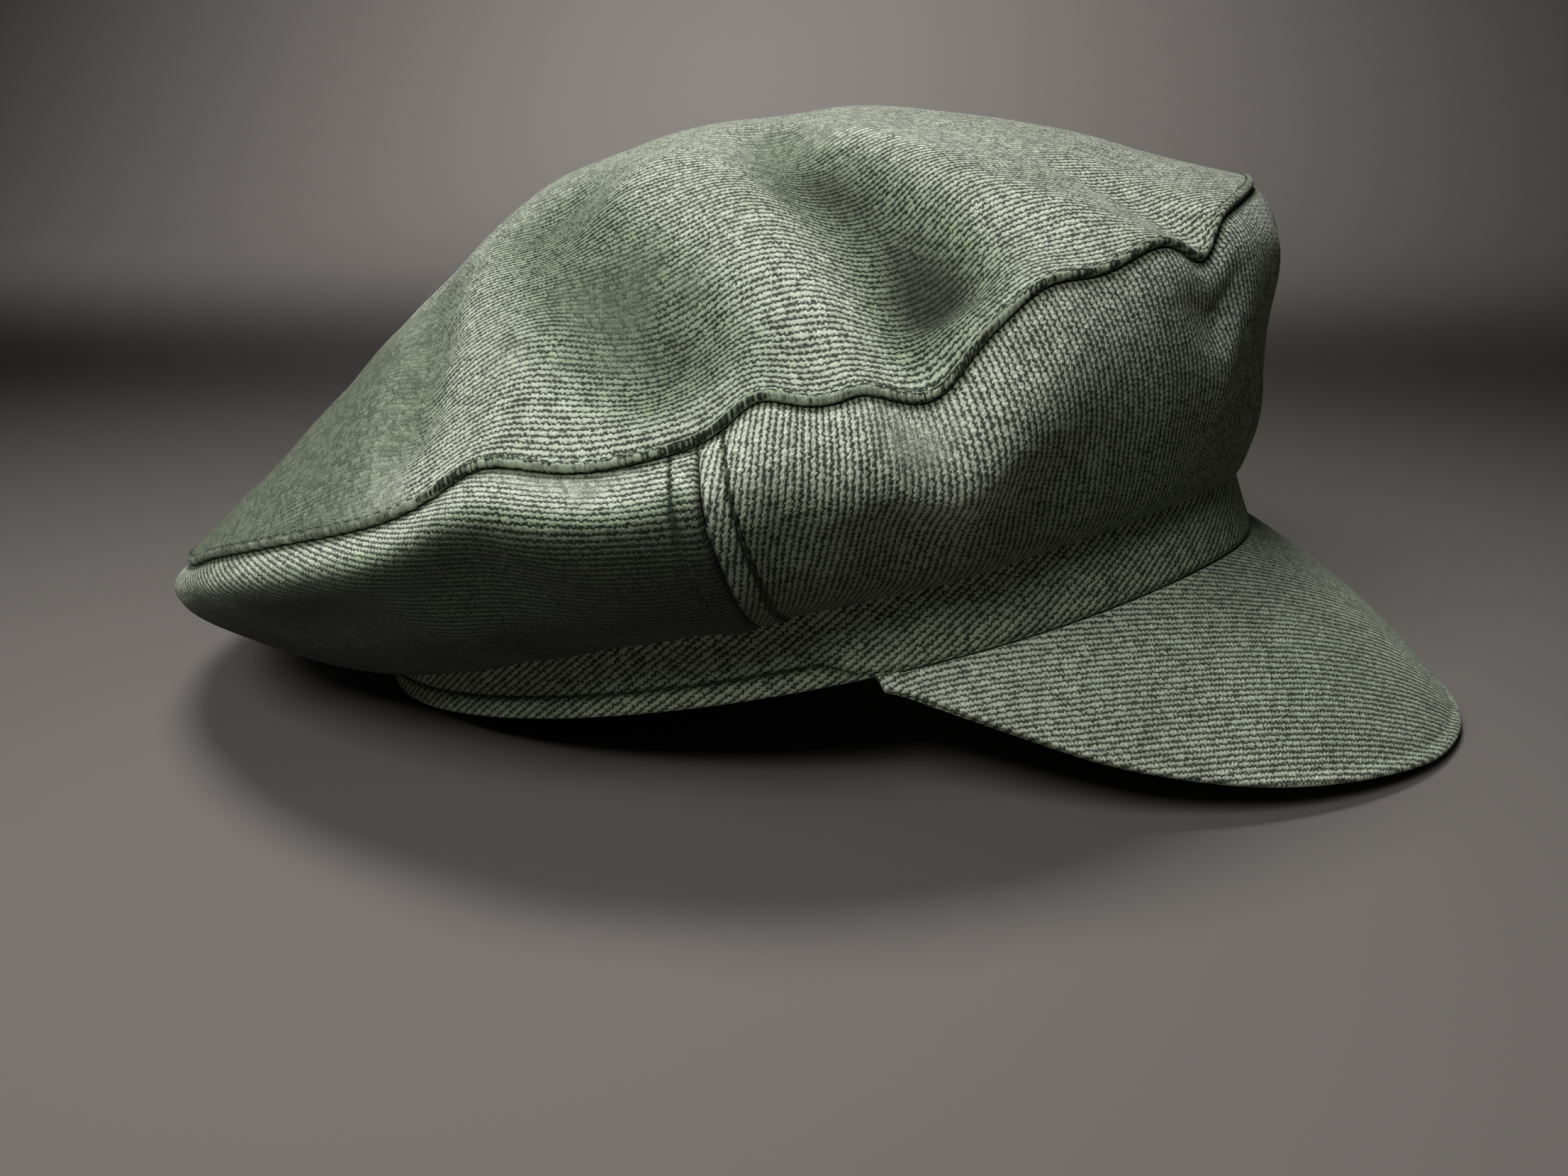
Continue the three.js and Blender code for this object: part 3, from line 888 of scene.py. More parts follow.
def weave_group() -> bpy.types.NodeTree:
    """Builds the twill's weave from cloth coordinates in metres.

    Across the wales the height is a cosine, and along them floats a thread long lean across each
    wale, so that the gaps between wales break into dark dots.

    Returns:
        A group with the outputs Thread (1 on a float, 0 in a gap), Fleck (a random value for each
        float), Fuzz (fine noise of the fibres) and Height.
    """
    values = {"Pitch": 0.0018, "Turn": 0.0, "Float": 0.0011, "Waviness": 0.3}
    t = new_group("twill_weave", values, ("Thread", "Fleck", "Fuzz", "Height"))
    given = t.node("NodeGroupInput").outputs
    cloth = given["Cloth"]
    pitch, turn, length, waviness = (given[name] for name in values)
    parts = t.node("ShaderNodeSeparateXYZ")
    t.plug(parts.inputs[0], cloth)
    u, v = parts.outputs[0], parts.outputs[1]
    c, s = t.math("COSINE", turn), t.math("SINE", turn)
    across = t.less(t.times(v, c), t.times(u, s))
    along = t.plus(t.times(u, c), t.times(v, s))
    drift = t.less(t.noise(cloth, 95, 1.5), 0.5)
    jitter = t.less(t.noise(cloth, 1100, 2.0), 0.5)
    a = t.math("DIVIDE", across, pitch)
    a = t.plus(a, t.times(drift, waviness))
    a = t.plus(a, t.times(jitter, 0.9))
    wale = t.math("FLOOR", a)
    b = t.math("DIVIDE", along, length)
    b = t.plus(b, t.times(wale, 0.42))
    step = t.node("ShaderNodeTexWhiteNoise", noise_dimensions="1D")
    t.plug(step.inputs["W"], wale)
    b = t.plus(b, t.times(step.outputs["Value"], 0.4))
    b = t.plus(b, t.times(a, 0.3))
    b = t.plus(b, t.times(drift, 1.5))
    ridge = t.times_plus(t.math("COSINE", t.times(a, 2 * math.pi)), -0.5, 0.5)
    dash = t.times_plus(t.math("COSINE", t.times(b, 2 * math.pi)), 0.5, 0.5)
    cell = t.node("ShaderNodeCombineXYZ")
    t.plug(cell.inputs[0], wale)
    t.plug(cell.inputs[1], t.math("FLOOR", b))
    dice = t.node("ShaderNodeTexWhiteNoise", noise_dimensions="2D")
    t.plug(dice.inputs["Vector"], cell.outputs[0])
    fleck = dice.outputs["Value"]
    fuzz = t.noise(cloth, 2900, 1.0)
    mass = t.times_plus(dash, 0.42, ridge)
    mass = t.times_plus(fleck, 0.3, mass)
    mass = t.times_plus(fuzz, 1.3, mass)
    thread = t.smooth(mass, 1.02, 1.82)
    height = t.times_plus(dash, 0.3, t.times(ridge, 0.7))
    height = t.times_plus(fuzz, 0.7, height)
    done = t.node("NodeGroupOutput")
    for socket, value in zip(done.inputs, (thread, fleck, fuzz, height)):
        t.plug(socket, value)
    return t.tree


def fade_light_and_shade_group() -> bpy.types.NodeTree:
    """Builds the uneven paleness of worn denim, with painted light and shade, from cloth coordinates and a
    piece's own wear_light_and_shade and nap.

    Returns:
        A group with the outputs Fade (0 dark to 1 pale, darker also where shade is painted),
        Painted_shade (1 where none is painted, less where shade is painted, as in grooves, creases and folds)
        and Nap (how far the wales are rubbed into fuzz).
    """
    t = new_group("worn_fade_light_and_shade", {"Wear_light_and_shade": 0.0, "Nap": 0.0}, ("Fade", "Painted_shade", "Nap"))
    given = t.node("NodeGroupInput").outputs
    broad = t.less(t.noise(given["Cloth"], 30, 2.0), 0.5)
    close = t.less(t.noise(given["Cloth"], 240, 2.0), 0.5)
    fade = t.times_plus(broad, 0.55, given["Wear_light_and_shade"])
    fade = t.times_plus(close, 0.4, fade)
    # Painted shade: darkens where the value of worn paleness with painted light and shade drops below 0.15.
    painted_shade = t.times_plus(t.smooth(given["Wear_light_and_shade"], -0.9, 0.15), 0.82, 0.18)
    patch = t.less(t.noise(given["Cloth"], 75, 2.0), 0.56)
    nap = t.times_plus(patch, 1.6, given["Nap"])
    done = t.node("NodeGroupOutput")
    t.plug(done.inputs["Fade"], t.smooth(fade, 0.0, 1.0))
    t.plug(done.inputs["Painted_shade"], painted_shade)
    t.plug(done.inputs["Nap"], t.smooth(nap, 0.0, 1.0))
    return t.tree


@dataclass(frozen=True)
class Denim:
    """A twill finish: its colours, the size and lean of its wales, and how worn it is.

    pitch is in mm and lean in degrees, float_share is the length of a float as a share of the
    pitch, and dyed gives how much of the thread's colour unfaded cloth keeps.
    """

    name: str
    thread: tuple[float, float, float]
    gap: tuple[float, float, float]
    pitch: float
    lean: float
    flatness: float = 1.0
    relief: float = 0.8
    waviness: float = 0.4
    float_share: float = 0.8
    dyed: tuple[float, float, float] = (0.9, 0.98, 0.82)
    roughness: float = 0.92
    sheen: float = 0.12
    sheen_roughness: float = 0.45
    bump_depth: float = 0.0004

    def material(self, weave: bpy.types.NodeTree, fade_light_and_shade_tree: bpy.types.NodeTree) -> bpy.types.Material:
        """Builds the cloth's material on the piece's UV map and its attribute of worn paleness with
        painted light and shade.

        Args:
            weave: The group that draws the wales.
            fade_light_and_shade_tree: The group that pales the cloth where worn and paints its light and
                shade.

        Returns:
            The material.
        """
        made, t, shader = new_material(self.name, self.roughness)
        cloth = t.node("ShaderNodeUVMap", uv_map="cloth").outputs[0]
        wales = t.node("ShaderNodeGroup", node_tree=weave)
        t.plug(wales.inputs["Cloth"], cloth)
        wales.inputs["Pitch"].default_value = self.pitch * MM
        wales.inputs["Turn"].default_value = math.radians(self.lean)
        wales.inputs["Float"].default_value = self.pitch * self.float_share * MM
        wales.inputs["Waviness"].default_value = self.waviness
        fade_light_and_shade_node = t.node("ShaderNodeGroup", node_tree=fade_light_and_shade_tree)
        t.plug(fade_light_and_shade_node.inputs["Cloth"], cloth)
        for socket in ("Wear_light_and_shade", "Nap"):
            kept = t.node("ShaderNodeAttribute", attribute_name=socket.lower())
            t.plug(fade_light_and_shade_node.inputs[socket], kept.outputs["Fac"])
        flat = t.times(fade_light_and_shade_node.outputs["Nap"], 0.92 * self.flatness)
        # fade carries worn paleness with painted light and shade.
        fleck, fuzz, fade = wales.outputs["Fleck"], wales.outputs["Fuzz"], fade_light_and_shade_node.outputs["Fade"]
        mean = t.times_plus(fleck, 0.22, -0.18)
        mean = t.times_plus(fuzz, 1.15, mean)
        keep = t.less(1.0, flat)
        standing = t.times(wales.outputs["Thread"], keep)
        thread = t.plus(standing, t.times(mean, flat))
        tone = t.times_plus(fade, 0.6, 0.56)
        tone = t.times(tone, t.times_plus(fleck, 0.3, 0.82))
        tone = t.times(tone, t.times_plus(fuzz, 0.8, 0.6))
        dyed = tuple(v * share for v, share in zip(self.thread, self.dyed))
        colour = t.mix(fade, (*dyed, 1), (*self.thread, 1))
        # The painted shade darkens the threads' colour.
        light = t.mix(1.0, colour, t.times(tone, fade_light_and_shade_node.outputs["Painted_shade"]), "MULTIPLY")
        dark = t.mix(t.times(fade, 0.1), (*self.gap, 1), (*self.thread, 1))
        t.plug(shader.inputs["Base Color"], t.mix(thread, dark, light))
        shader.inputs["Sheen Weight"].default_value = self.sheen
        shader.inputs["Sheen Roughness"].default_value = self.sheen_roughness
        bump = t.node("ShaderNodeBump")
        bump.inputs["Strength"].default_value = self.relief
        bump.inputs["Distance"].default_value = self.bump_depth
        worn_down = t.times_plus(flat, -0.6, 1.0)
        t.plug(bump.inputs["Height"], t.times(wales.outputs["Height"], worn_down))
        t.plug(shader.inputs["Normal"], bump.outputs[0])
        return made


@dataclass(frozen=True)
class SewingThread:
    """The finish of the topstitching: a dark twisted thread."""

    name: str = "sewing_thread"
    colour: tuple[float, float, float] = (0.018, 0.024, 0.017)
    paleness: float = 2.6
    fineness: float = 2500
    roughness: float = 0.8

    def material(self) -> bpy.types.Material:
        """Builds the thread's material: fine noise between its colour and a paler one."""
        made, t, shader = new_material(self.name, self.roughness)
        place = t.node("ShaderNodeTexCoord").outputs["Object"]
        grain = t.noise(place, self.fineness, 1.0)
        pale = tuple(c * self.paleness for c in self.colour)
        t.plug(shader.inputs["Base Color"], t.mix(grain, (*self.colour, 1), (*pale, 1)))
        return made


@dataclass(frozen=True)
class Stitching:
    """A row of stitches along a line on the cloth."""

    name: str
    pitch: float = 3.1
    length: float = 2.3
    radius: float = 0.26
    sides: int = 6
    rings: int = 6

    def build(
        self,
        form: CapForm,
        lines: list[tuple[np.ndarray, np.ndarray]],
        slot: Slot,
        material: bpy.types.Material,
    ) -> bpy.types.Object:
        """Builds each stitch as a closed tube that dips at both ends.

        Along a stitch the tube's middle is a parabola over the cloth, and its radius is that of an
        ellipse.

        Args:
            form: The cap's form.
            lines: For each row, its places on the cloth and their normals.
            slot: The record's slot; not used.
            material: The thread's material.

        Returns:
            One object that holds all the stitches.
        """
        cloth = ClothMesh(self.name, form)
        s = np.linspace(-1, 1, self.rings)
        girth = self.radius * np.sqrt(np.maximum(1 - (0.985 * s) ** 4, 0))
        ring = np.linspace(0, 2 * math.pi, self.sides + 1)[:-1]
        for places, normals in lines:
            length = arc(places, 0)
            count = int(length[-1] / self.pitch)
            middle = (np.arange(count) + 0.5) * self.pitch
            at = middle[:, None] + s * self.length / 2
            line = np.stack([np.interp(at, length, places[:, k]) for k in range(3)], axis=-1)
            normal = unit(np.stack([np.interp(at, length, normals[:, k]) for k in range(3)], axis=-1))
            forward = unit(np.gradient(line, axis=1))
            beside = unit(np.cross(forward, normal))
            line = line + normal * ((0.1 - 0.45 * s**4) * self.radius * 2)[:, None]
            tube = (
                line[:, :, None]
                + (girth[:, None] * np.cos(ring))[..., None] * beside[:, :, None]
                + (girth[:, None] * np.sin(ring))[..., None] * normal[:, :, None]
            )
            flat = np.zeros((*tube.shape[:-1], 2))
            numbers = cloth.points(tube, flat, 0.5)
            closed = np.concatenate([numbers, numbers[:, :, :1]], axis=2)
            a, b = closed[:, :-1, :-1], closed[:, 1:, :-1]
            c, d = closed[:, 1:, 1:], closed[:, :-1, 1:]
            cloth.faces.append(np.stack([a, b, c, d], axis=-1).reshape(-1, 4))
            for end, tip in ((0, line[:, 0]), (-1, line[:, -1])):
                heads = cloth.points(tip, np.zeros((count, 2)), 0.5)
                first, second = closed[:, end, :-1], closed[:, end, 1:]
                middles = np.broadcast_to(heads[:, None], first.shape)
                cap = np.stack([middles, first, second, np.full(first.shape, -1)], axis=-1)
                cloth.faces.append(cap.reshape(-1, 4))
        return cloth.finish(material)


@dataclass(frozen=True)
class CrownTop:
    """The top panel: a puckered dome whose turned edge is stitched down."""

    form: CapForm
    columns: int = 540
    inner_rows: int = 72
    lip: float = 0.95
    ridge: float = 0.32
    ridge_width: float = 1.7
    crease_behind: float = 47
    crease_slope: float = 0.5
    crease_bend: float = 62
    flat_length: float = 0.28
    flat_width: float = 0.246

    def twist(self, turn: np.ndarray, away: np.ndarray, run: np.ndarray) -> np.ndarray:
        """Rope-like twist of the edge behind the side seams: a sine wave slanted across the edge.

        Args:
            turn: Degrees from the front.
            away: Distance in from the edge.
            run: Length along the edge.

        Returns:
            Values from -1 to 1.
        """
        behind = 0.25 + 0.75 * ramp((self.form.from_front(turn) - 82) / 10)
        slant = 2 * math.pi * (run + 0.9 * away) / 2.1 + 0.9 * np.sin(run / 7)
        return behind * np.sin(slant) * bell(np.maximum(away - 0.8, 0) / 0.7)

    def behind_crease(self, x: np.ndarray, y: np.ndarray) -> np.ndarray:
        """How far a place in plan lies behind the rear crease: two straight lines that meet in a bend."""
        return -self.crease_behind - self.crease_slope * np.maximum(0, y + self.crease_bend) - x

    def nap(self, x: np.ndarray, y: np.ndarray) -> np.ndarray:
        """Where the wales are rubbed into fuzz: behind the rear crease, on the hump and along the top.

        Args:
            x: Places ahead of the band's middle.
            y: Places to the wearer's left.

        Returns:
            Shares from 0 to 1.
        """
        rear = ramp((self.behind_crease(x, y) + 8) / 12)
        hump = 0.75 * bell(np.hypot((x + 8) / 20, (y + 74) / 17))
        brow = 0.7 * bell((y + 24) / 17) * ramp((x + 50) / 20) * ramp((80 - x) / 15)
        return np.maximum(rear, np.maximum(hump, brow))

    def shade(self, x: np.ndarray, y: np.ndarray) -> np.ndarray:
        """Painted light and shade on the top panel, as a change of its worn paleness.

        Shade is painted behind the rear crease, less of it toward the far side, and light and shade at the
        spots.

        Args:
            x: Places ahead of the band's middle.
            y: Places to the wearer's left.

        Returns:
            Changes of wear_light_and_shade.
        """
        toward_near = 0.3 + 0.7 * ramp((10 - y) / 60)
        # Painted shade on the slope behind the rear crease.
        rear = -0.78 * ramp((self.behind_crease(x, y) + 2) / 22) * toward_near
        spots = sum(
            share * bell(np.hypot((x - at_x) / long, (y - at_y) / wide))
            for at_x, at_y, long, wide, share in PAINTED_LIGHT_AND_SHADE
        )
        return rear + spots * ramp(-y / 20)

    def edge_lift(self, away: np.ndarray, twist: np.ndarray) -> np.ndarray:
        """Height of the turned edge over the panel, with a groove where it is stitched.

        Args:
            away: Distance in from the edge.
            twist: The rope-like twist of the edge.

        Returns:
            Heights in mm along the normal.
        """
        ridge = self.ridge * (1 - ramp((away - self.ridge_width + 0.4) / 0.9))
        groove = 0.25 * bell((away - self.ridge_width) / 0.35)
        return ridge * (1 + 0.7 * twist) - groove

    @staticmethod
    def grain(places: np.ndarray) -> np.ndarray:
        """Cloth coordinates in plan: x along the wales, and across them y less a parabola of x."""
        x, y = places[..., 0], places[..., 1]
        return np.stack([x, y - 0.05 * x - np.where(x > 0, 0.0042, 0.002) * x * x], axis=-1)

    def build(self, material: bpy.types.Material, thread: bpy.types.Material) -> bpy.types.Object:
        """Builds the panel and its edge stitching.

        Rows run from the middle out to a turned lip, which is half a circle, and back inside.

        Args:
            material: The cloth's material.
            thread: The stitches' material.

        Returns:
            The panel's object.
        """
        form = self.form
        turn = np.linspace(0, 360, self.columns + 1)[:, None]
        whole, d = 1.0 + 0 * turn, 1e-3
        rim = form.top(turn, whole)
        reach = np.linalg.norm(rim - form.top(turn, 1 - d + 0 * turn), axis=-1) / d
        close_rows = [9, 7.4, 6, 5, 4.2, 3.6, 3.2, 2.9, 2.7, 2.5, 2.35, 2.2, 2.0, 1.8, 1.5, 1.2]
        close = np.array([*close_rows, self.lip])
        edge_share = 1 - close[0] / reach
        inner = np.linspace(0, 1, self.inner_rows + 1)[None, 1:-1] * edge_share
        share = np.concatenate([inner, 1 - close[None, :] / reach], axis=1)
        base = form.top(turn, share)
        normal = form.top_normal(base)
        run = arc(rim, 0)
        away = np.maximum((1 - share) * reach, 0)
        twist = self.twist(turn, away, run)
        uneven = ripple(base[..., 0], base[..., 1], 3) * 0.3 * ramp(away / 25)
        outer = base + normal * (self.edge_lift(away, twist) + uneven)[..., None]
        folds = sum(form.fold_height(fold, base[..., 0], base[..., 1]) for fold in TOP_FOLDS)
        # Painted shade in the folds' valleys and painted light on their ridges, on the near side.
        painted_fold_light_and_shade = 0.18 * np.minimum(folds, 0) + 0.06 * np.maximum(folds, 0)
        # Painted shade in the stitching's groove.
        wear_light_and_shade = 0.75 + painted_fold_light_and_shade * form.near_share(turn) - 0.3 * bell((away - self.ridge_width) / 0.4)
        # Painted light and shade of shade(), and painted shade at the turned edge.
        wear_light_and_shade = wear_light_and_shade + self.shade(base[..., 0], base[..., 1]) - 0.4 * (1 - ramp((away - 0.7) / 1.2))
        # Lighter on the crests of the edge's twist and darker in its hollows, as painted light and shade.
        wear_light_and_shade = wear_light_and_shade + 0.3 * twist * bell(np.maximum(away - 0.8, 0) / 0.6)
        out_way = unit(np.gradient(base, axis=1)[:, -1:])
        centre = outer[:, -1:] - normal[:, -1:] * self.lip
        angle = np.linspace(0, math.pi, 10)[1:]
        cosine, sine = np.cos(angle)[:, None], np.sin(angle)[:, None]
        lip = centre + self.lip * (normal[:, -1:] * cosine + out_way * sine)
        back_close = 1 - np.array([2.2, 4.0, 7.0])[None, :] / reach
        back_inner = edge_share * np.linspace(0.95, 0.04, 20)
        back = form.top(turn, np.concatenate([back_close, back_inner], axis=1))
        inside = back - form.top_normal(back) * form.cloth
        cloth = ClothMesh("crown_top_cloth", form)
        rows = np.concatenate([outer, lip, inside], axis=1)
        # The turned lip is painted dark like the shaded edge beside it; the inside is plain.
        plain = [np.full(lip.shape[:2], 0.3), np.full(back.shape[:2], 0.4)]
        wears_with_light_and_shade = np.concatenate([wear_light_and_shade, *plain], axis=1)
        nap = self.nap(rows[..., 0], rows[..., 1])
        numbers = cloth.points(rows, self.grain(rows), wears_with_light_and_shade, nap)
        cloth.quads(numbers)
        top = form.top(np.zeros(1), np.zeros(1))
        middle = cloth.points(top, self.grain(top), 0.55, self.nap(top[..., 0], top[..., 1]))[0]
        below = top - form.top_normal(top) * form.cloth
        under = cloth.points(below, self.grain(below), 0.4)[0]
        cloth.fan(middle, numbers[:, 0])
        cloth.fan(under, numbers[:, -1])
        piece = cloth.finish(material)
        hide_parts("crown_top")
        line = form.top(turn, 1 - self.ridge_width / reach)[:, 0]
        line_normal = form.top_normal(line)
        line = line + line_normal * self.edge_lift(np.array([self.ridge_width]), np.zeros(1))
        stitches = Stitching("crown_top_stitches", pitch=2.6, length=1.9, radius=0.2)
        stitches.build(form, [(line, line_normal)], Slot.CROWN, thread)
        return piece


def front_grain(run: np.ndarray, rise: np.ndarray) -> np.ndarray:
    """Cloth coordinates of the front panel: the wales stand, and lean forward by the near seam.

    Across the wales it is the length round to the near seam, less or more a share of the height,
    and that share turns over along a smooth step.

    Args:
        run: Length round the panel.
        rise: Length up it.

    Returns:
        Two cloth coordinates in mm for each place.
    """
    near = run.max() - run
    share = -0.33 + 0.45 * ramp(near / 85)
    return np.stack([rise, near + share * (rise - 30)], axis=-1)


def rear_grain(run: np.ndarray, rise: np.ndarray) -> np.ndarray:
    """Cloth coordinates of the back panel: the wales run round it and climb toward the back.

    Across the wales it is the height less their climb, whose slope is a constant and a half sine
    wave round the panel.

    Args:
        run: Length round the panel.
        rise: Length up it.

    Returns:
        Two cloth coordinates in mm for each place.
    """
    whole = run.max() / math.pi
    climb = 0.26 * run - 0.42 * whole * np.cos(run / whole)
    spread_out = 1 + 0.002 * whole * np.sin(run / whole)
    return np.stack([-run, rise * spread_out - climb], axis=-1)


@dataclass(frozen=True)
class Patch:
    """A place of a side panel that is rubbed, painted lighter as light, or painted darker as shade: a bell
    curve round it and another up it.

    turn and width are in degrees, up and tall are shares of the panel's height, nap is how far the
    wales are rubbed into fuzz, and wear_light_and_shade is the change of worn paleness: above 0 painted
    light, below 0 painted shade.
    """

    turn: float
    up: float
    width: float
    tall: float
    nap: float
    wear_light_and_shade: float


@dataclass(frozen=True)
class SidePanel:
    """A side panel from one side seam round to the other, which lips over the band.

    Below the crease line, a share of the panel's height that drops by crease_drop toward the back,
    shade is painted: the panel's worn paleness is less by crease_shade.
    """

    name: str
    node: str
    form: CapForm
    start: float
    end: float
    flat: tuple[float, float]
    fill: float
    seed: int
    grain: Callable[[np.ndarray, np.ndarray], np.ndarray]
    patches: tuple[Patch, ...]
    crease: float
    crease_drop: float
    crease_shade: float
    seam_strip: float = 5.0
    seam_gap: float = 0.15
    rows: int = 84
    columns: int = 290
    usual_radius: float = 108
    tuck: tuple[float, float, float] = (0.7, 1.8, 3.4)
    tuck_wall: tuple[float, float, float] = (0.9, 0.5, 0.4)

    def turns(self) -> np.ndarray:
        """Turns of the columns: close together by the seams, where the topstitching lies."""
        scale = math.degrees(1 / self.usual_radius)
        length = (self.end - self.start) / scale
        near = spread(((self.seam_gap, 1.2, 5), (1.2, 3.8, 4), (3.8, 6.6, 10), (6.6, 10, 4)))
        inner = np.linspace(near[-1], length - near[-1], self.columns)[1:-1]
        far = length - near[::-1]
        return self.start + np.concatenate([near, inner, far]) * scale

    def seam_relief(self, away: np.ndarray) -> np.ndarray:
        """Relief along a side seam: the turned allowance stands up, its stitching lies in a groove.

        Args:
            away: Distance from the seam.

        Returns:
            Heights in mm along the normal.
        """
        allowance = 0.45 * (1 - ramp((away - self.seam_strip + 0.3) / 1.3))
        stitched = -0.42 * bell((away - self.seam_strip) / 0.5)
        return allowance + stitched - 0.75 * bell(away / 0.5)

    def build(self, material: bpy.types.Material) -> bpy.types.Object:
        """Builds the panel as a closed wall.

        Rows run up the outer face, in under the top panel, and down the inner face.

        Args:
            material: The cloth's material.

        Returns:
            The panel's object.
        """
        form = self.form
        turn = self.turns()[:, None]
        up = spread(((0, 0.06, 5), (0.06, 0.93, self.rows - 14), (0.93, 1, 9)))[None, :]
        base = form.side(turn, up)
        normal = grid_normal(base, -1)
        run = arc(base, 0)
        rise = arc(base, 1)
        middle = base.shape[1] // 2
        round_way = run[:, middle : middle + 1] + 0 * rise
        seam_away = np.minimum(run, run[-1:] - run) + self.seam_gap
        below = rise[:, -1:] - rise
        uneven = ripple(round_way, rise, self.seed) * 0.4
        ends = ramp(below / 12) * ramp(rise / 10)
        relief = self.seam_relief(seam_away) * ramp(rise / 3) * ramp(below / 3)
        outer = base + normal * (relief + uneven * ends)[..., None]
        seam = form.top(turn, 1.0 + 0 * turn)
        tuck_way = unit(form.top(turn, 0.97 + 0 * turn) - seam)
        tuck = np.array(self.tuck)[None, :, None] * tuck_way + base[:, -1:]
        rows = np.concatenate([outer, tuck], axis=1)
        wall = np.concatenate([np.full(up.shape[1], form.cloth), self.tuck_wall])
        seam_normal = form.top_normal(seam)
        across = np.concatenate([normal, np.broadcast_to(seam_normal, tuck.shape)], axis=1)
        back = rows - across * wall[None, :, None]
        more = len(self.tuck)
        long_way = np.concatenate([round_way, round_way[:, -more:]], axis=1)
        flats = self.grain(long_way, np.concatenate([rise, rise[:, -1:] + np.array([self.tuck])], axis=1))
        # Painted light and shade: lighter on faces turned up, darker on faces turned down; painted shade in
        # the stitching's groove.
        wear_light_and_shade = 0.5 + 0.7 * normal[..., 2] - 1.5 * bell((seam_away - self.seam_strip) / 0.55)
        # Painted shade along the seam and in the strip just under the top panel's lip.
        wear_light_and_shade = wear_light_and_shade - 1.2 * bell(seam_away / 0.6) - 0.9 * bell(below / 0.9)
        # Painted shade below the crease line, where the panel turns down.
        line = self.crease - self.crease_drop * ramp((form.from_front(turn) - 122) / 30)
        wear_light_and_shade = wear_light_and_shade - self.crease_shade * ramp((line - up) / 0.12)
        nap = np.zeros(wear_light_and_shade.shape)
        # Patches rub the wales into fuzz and paint light and shade.
        for patch in self.patches:
            share = bell((turn - patch.turn) / patch.width) * bell((up - patch.up) / patch.tall)
            nap = np.maximum(nap, patch.nap * share)
            wear_light_and_shade = wear_light_and_shade + patch.wear_light_and_shade * share
        # The tuck under the top panel's lip is painted dark as shade.
        wears_with_light_and_shade = np.concatenate([wear_light_and_shade, np.zeros(tuck.shape[:2])], axis=1)
        naps = np.concatenate([nap, nap[:, -more:]], axis=1)
        cloth = ClothMesh(self.name, form)
        front = cloth.points(rows, flats, wears_with_light_and_shade, naps)
        rear = cloth.points(back, flats, np.full(wears_with_light_and_shade.shape, 0.4))
        loop = np.concatenate([front, rear[:, ::-1], front[:, :1]], axis=1)
        cloth.quads(loop)
        for column in (0, -1):
            cloth.quads(np.stack([front[column], rear[column]]))
        piece = cloth.finish(material)
        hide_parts(self.node)
        return piece

    def stitch_line(self, at_start: bool) -> tuple[np.ndarray, np.ndarray]:
        """Line of topstitching beside one side seam, with its normals.

        Args:
            at_start: Whether it is the seam where the panel starts.

        Returns:
            Places and normals from the foot up to the top panel.
        """
        form = self.form
        count = 120
        up = np.linspace(0.03, 0.985, count)
        edge = self.start if at_start else self.end
        sign = 1 if at_start else -1
        radius = np.linalg.norm(form.side(np.full(count, edge), up)[:, :2], axis=1)
        turn = edge + sign * np.degrees(self.seam_strip / radius)
        places = form.side(turn, up)
        beside = form.side(turn + 0.3, up) - form.side(turn - 0.3, up)
        normals = unit(np.cross(np.gradient(places, axis=0), beside))
        outward = places * [1, 1, 0]
        normals = normals * np.sign((normals * outward).sum(1, keepdims=True))
        return places + normals * 0.02, normals


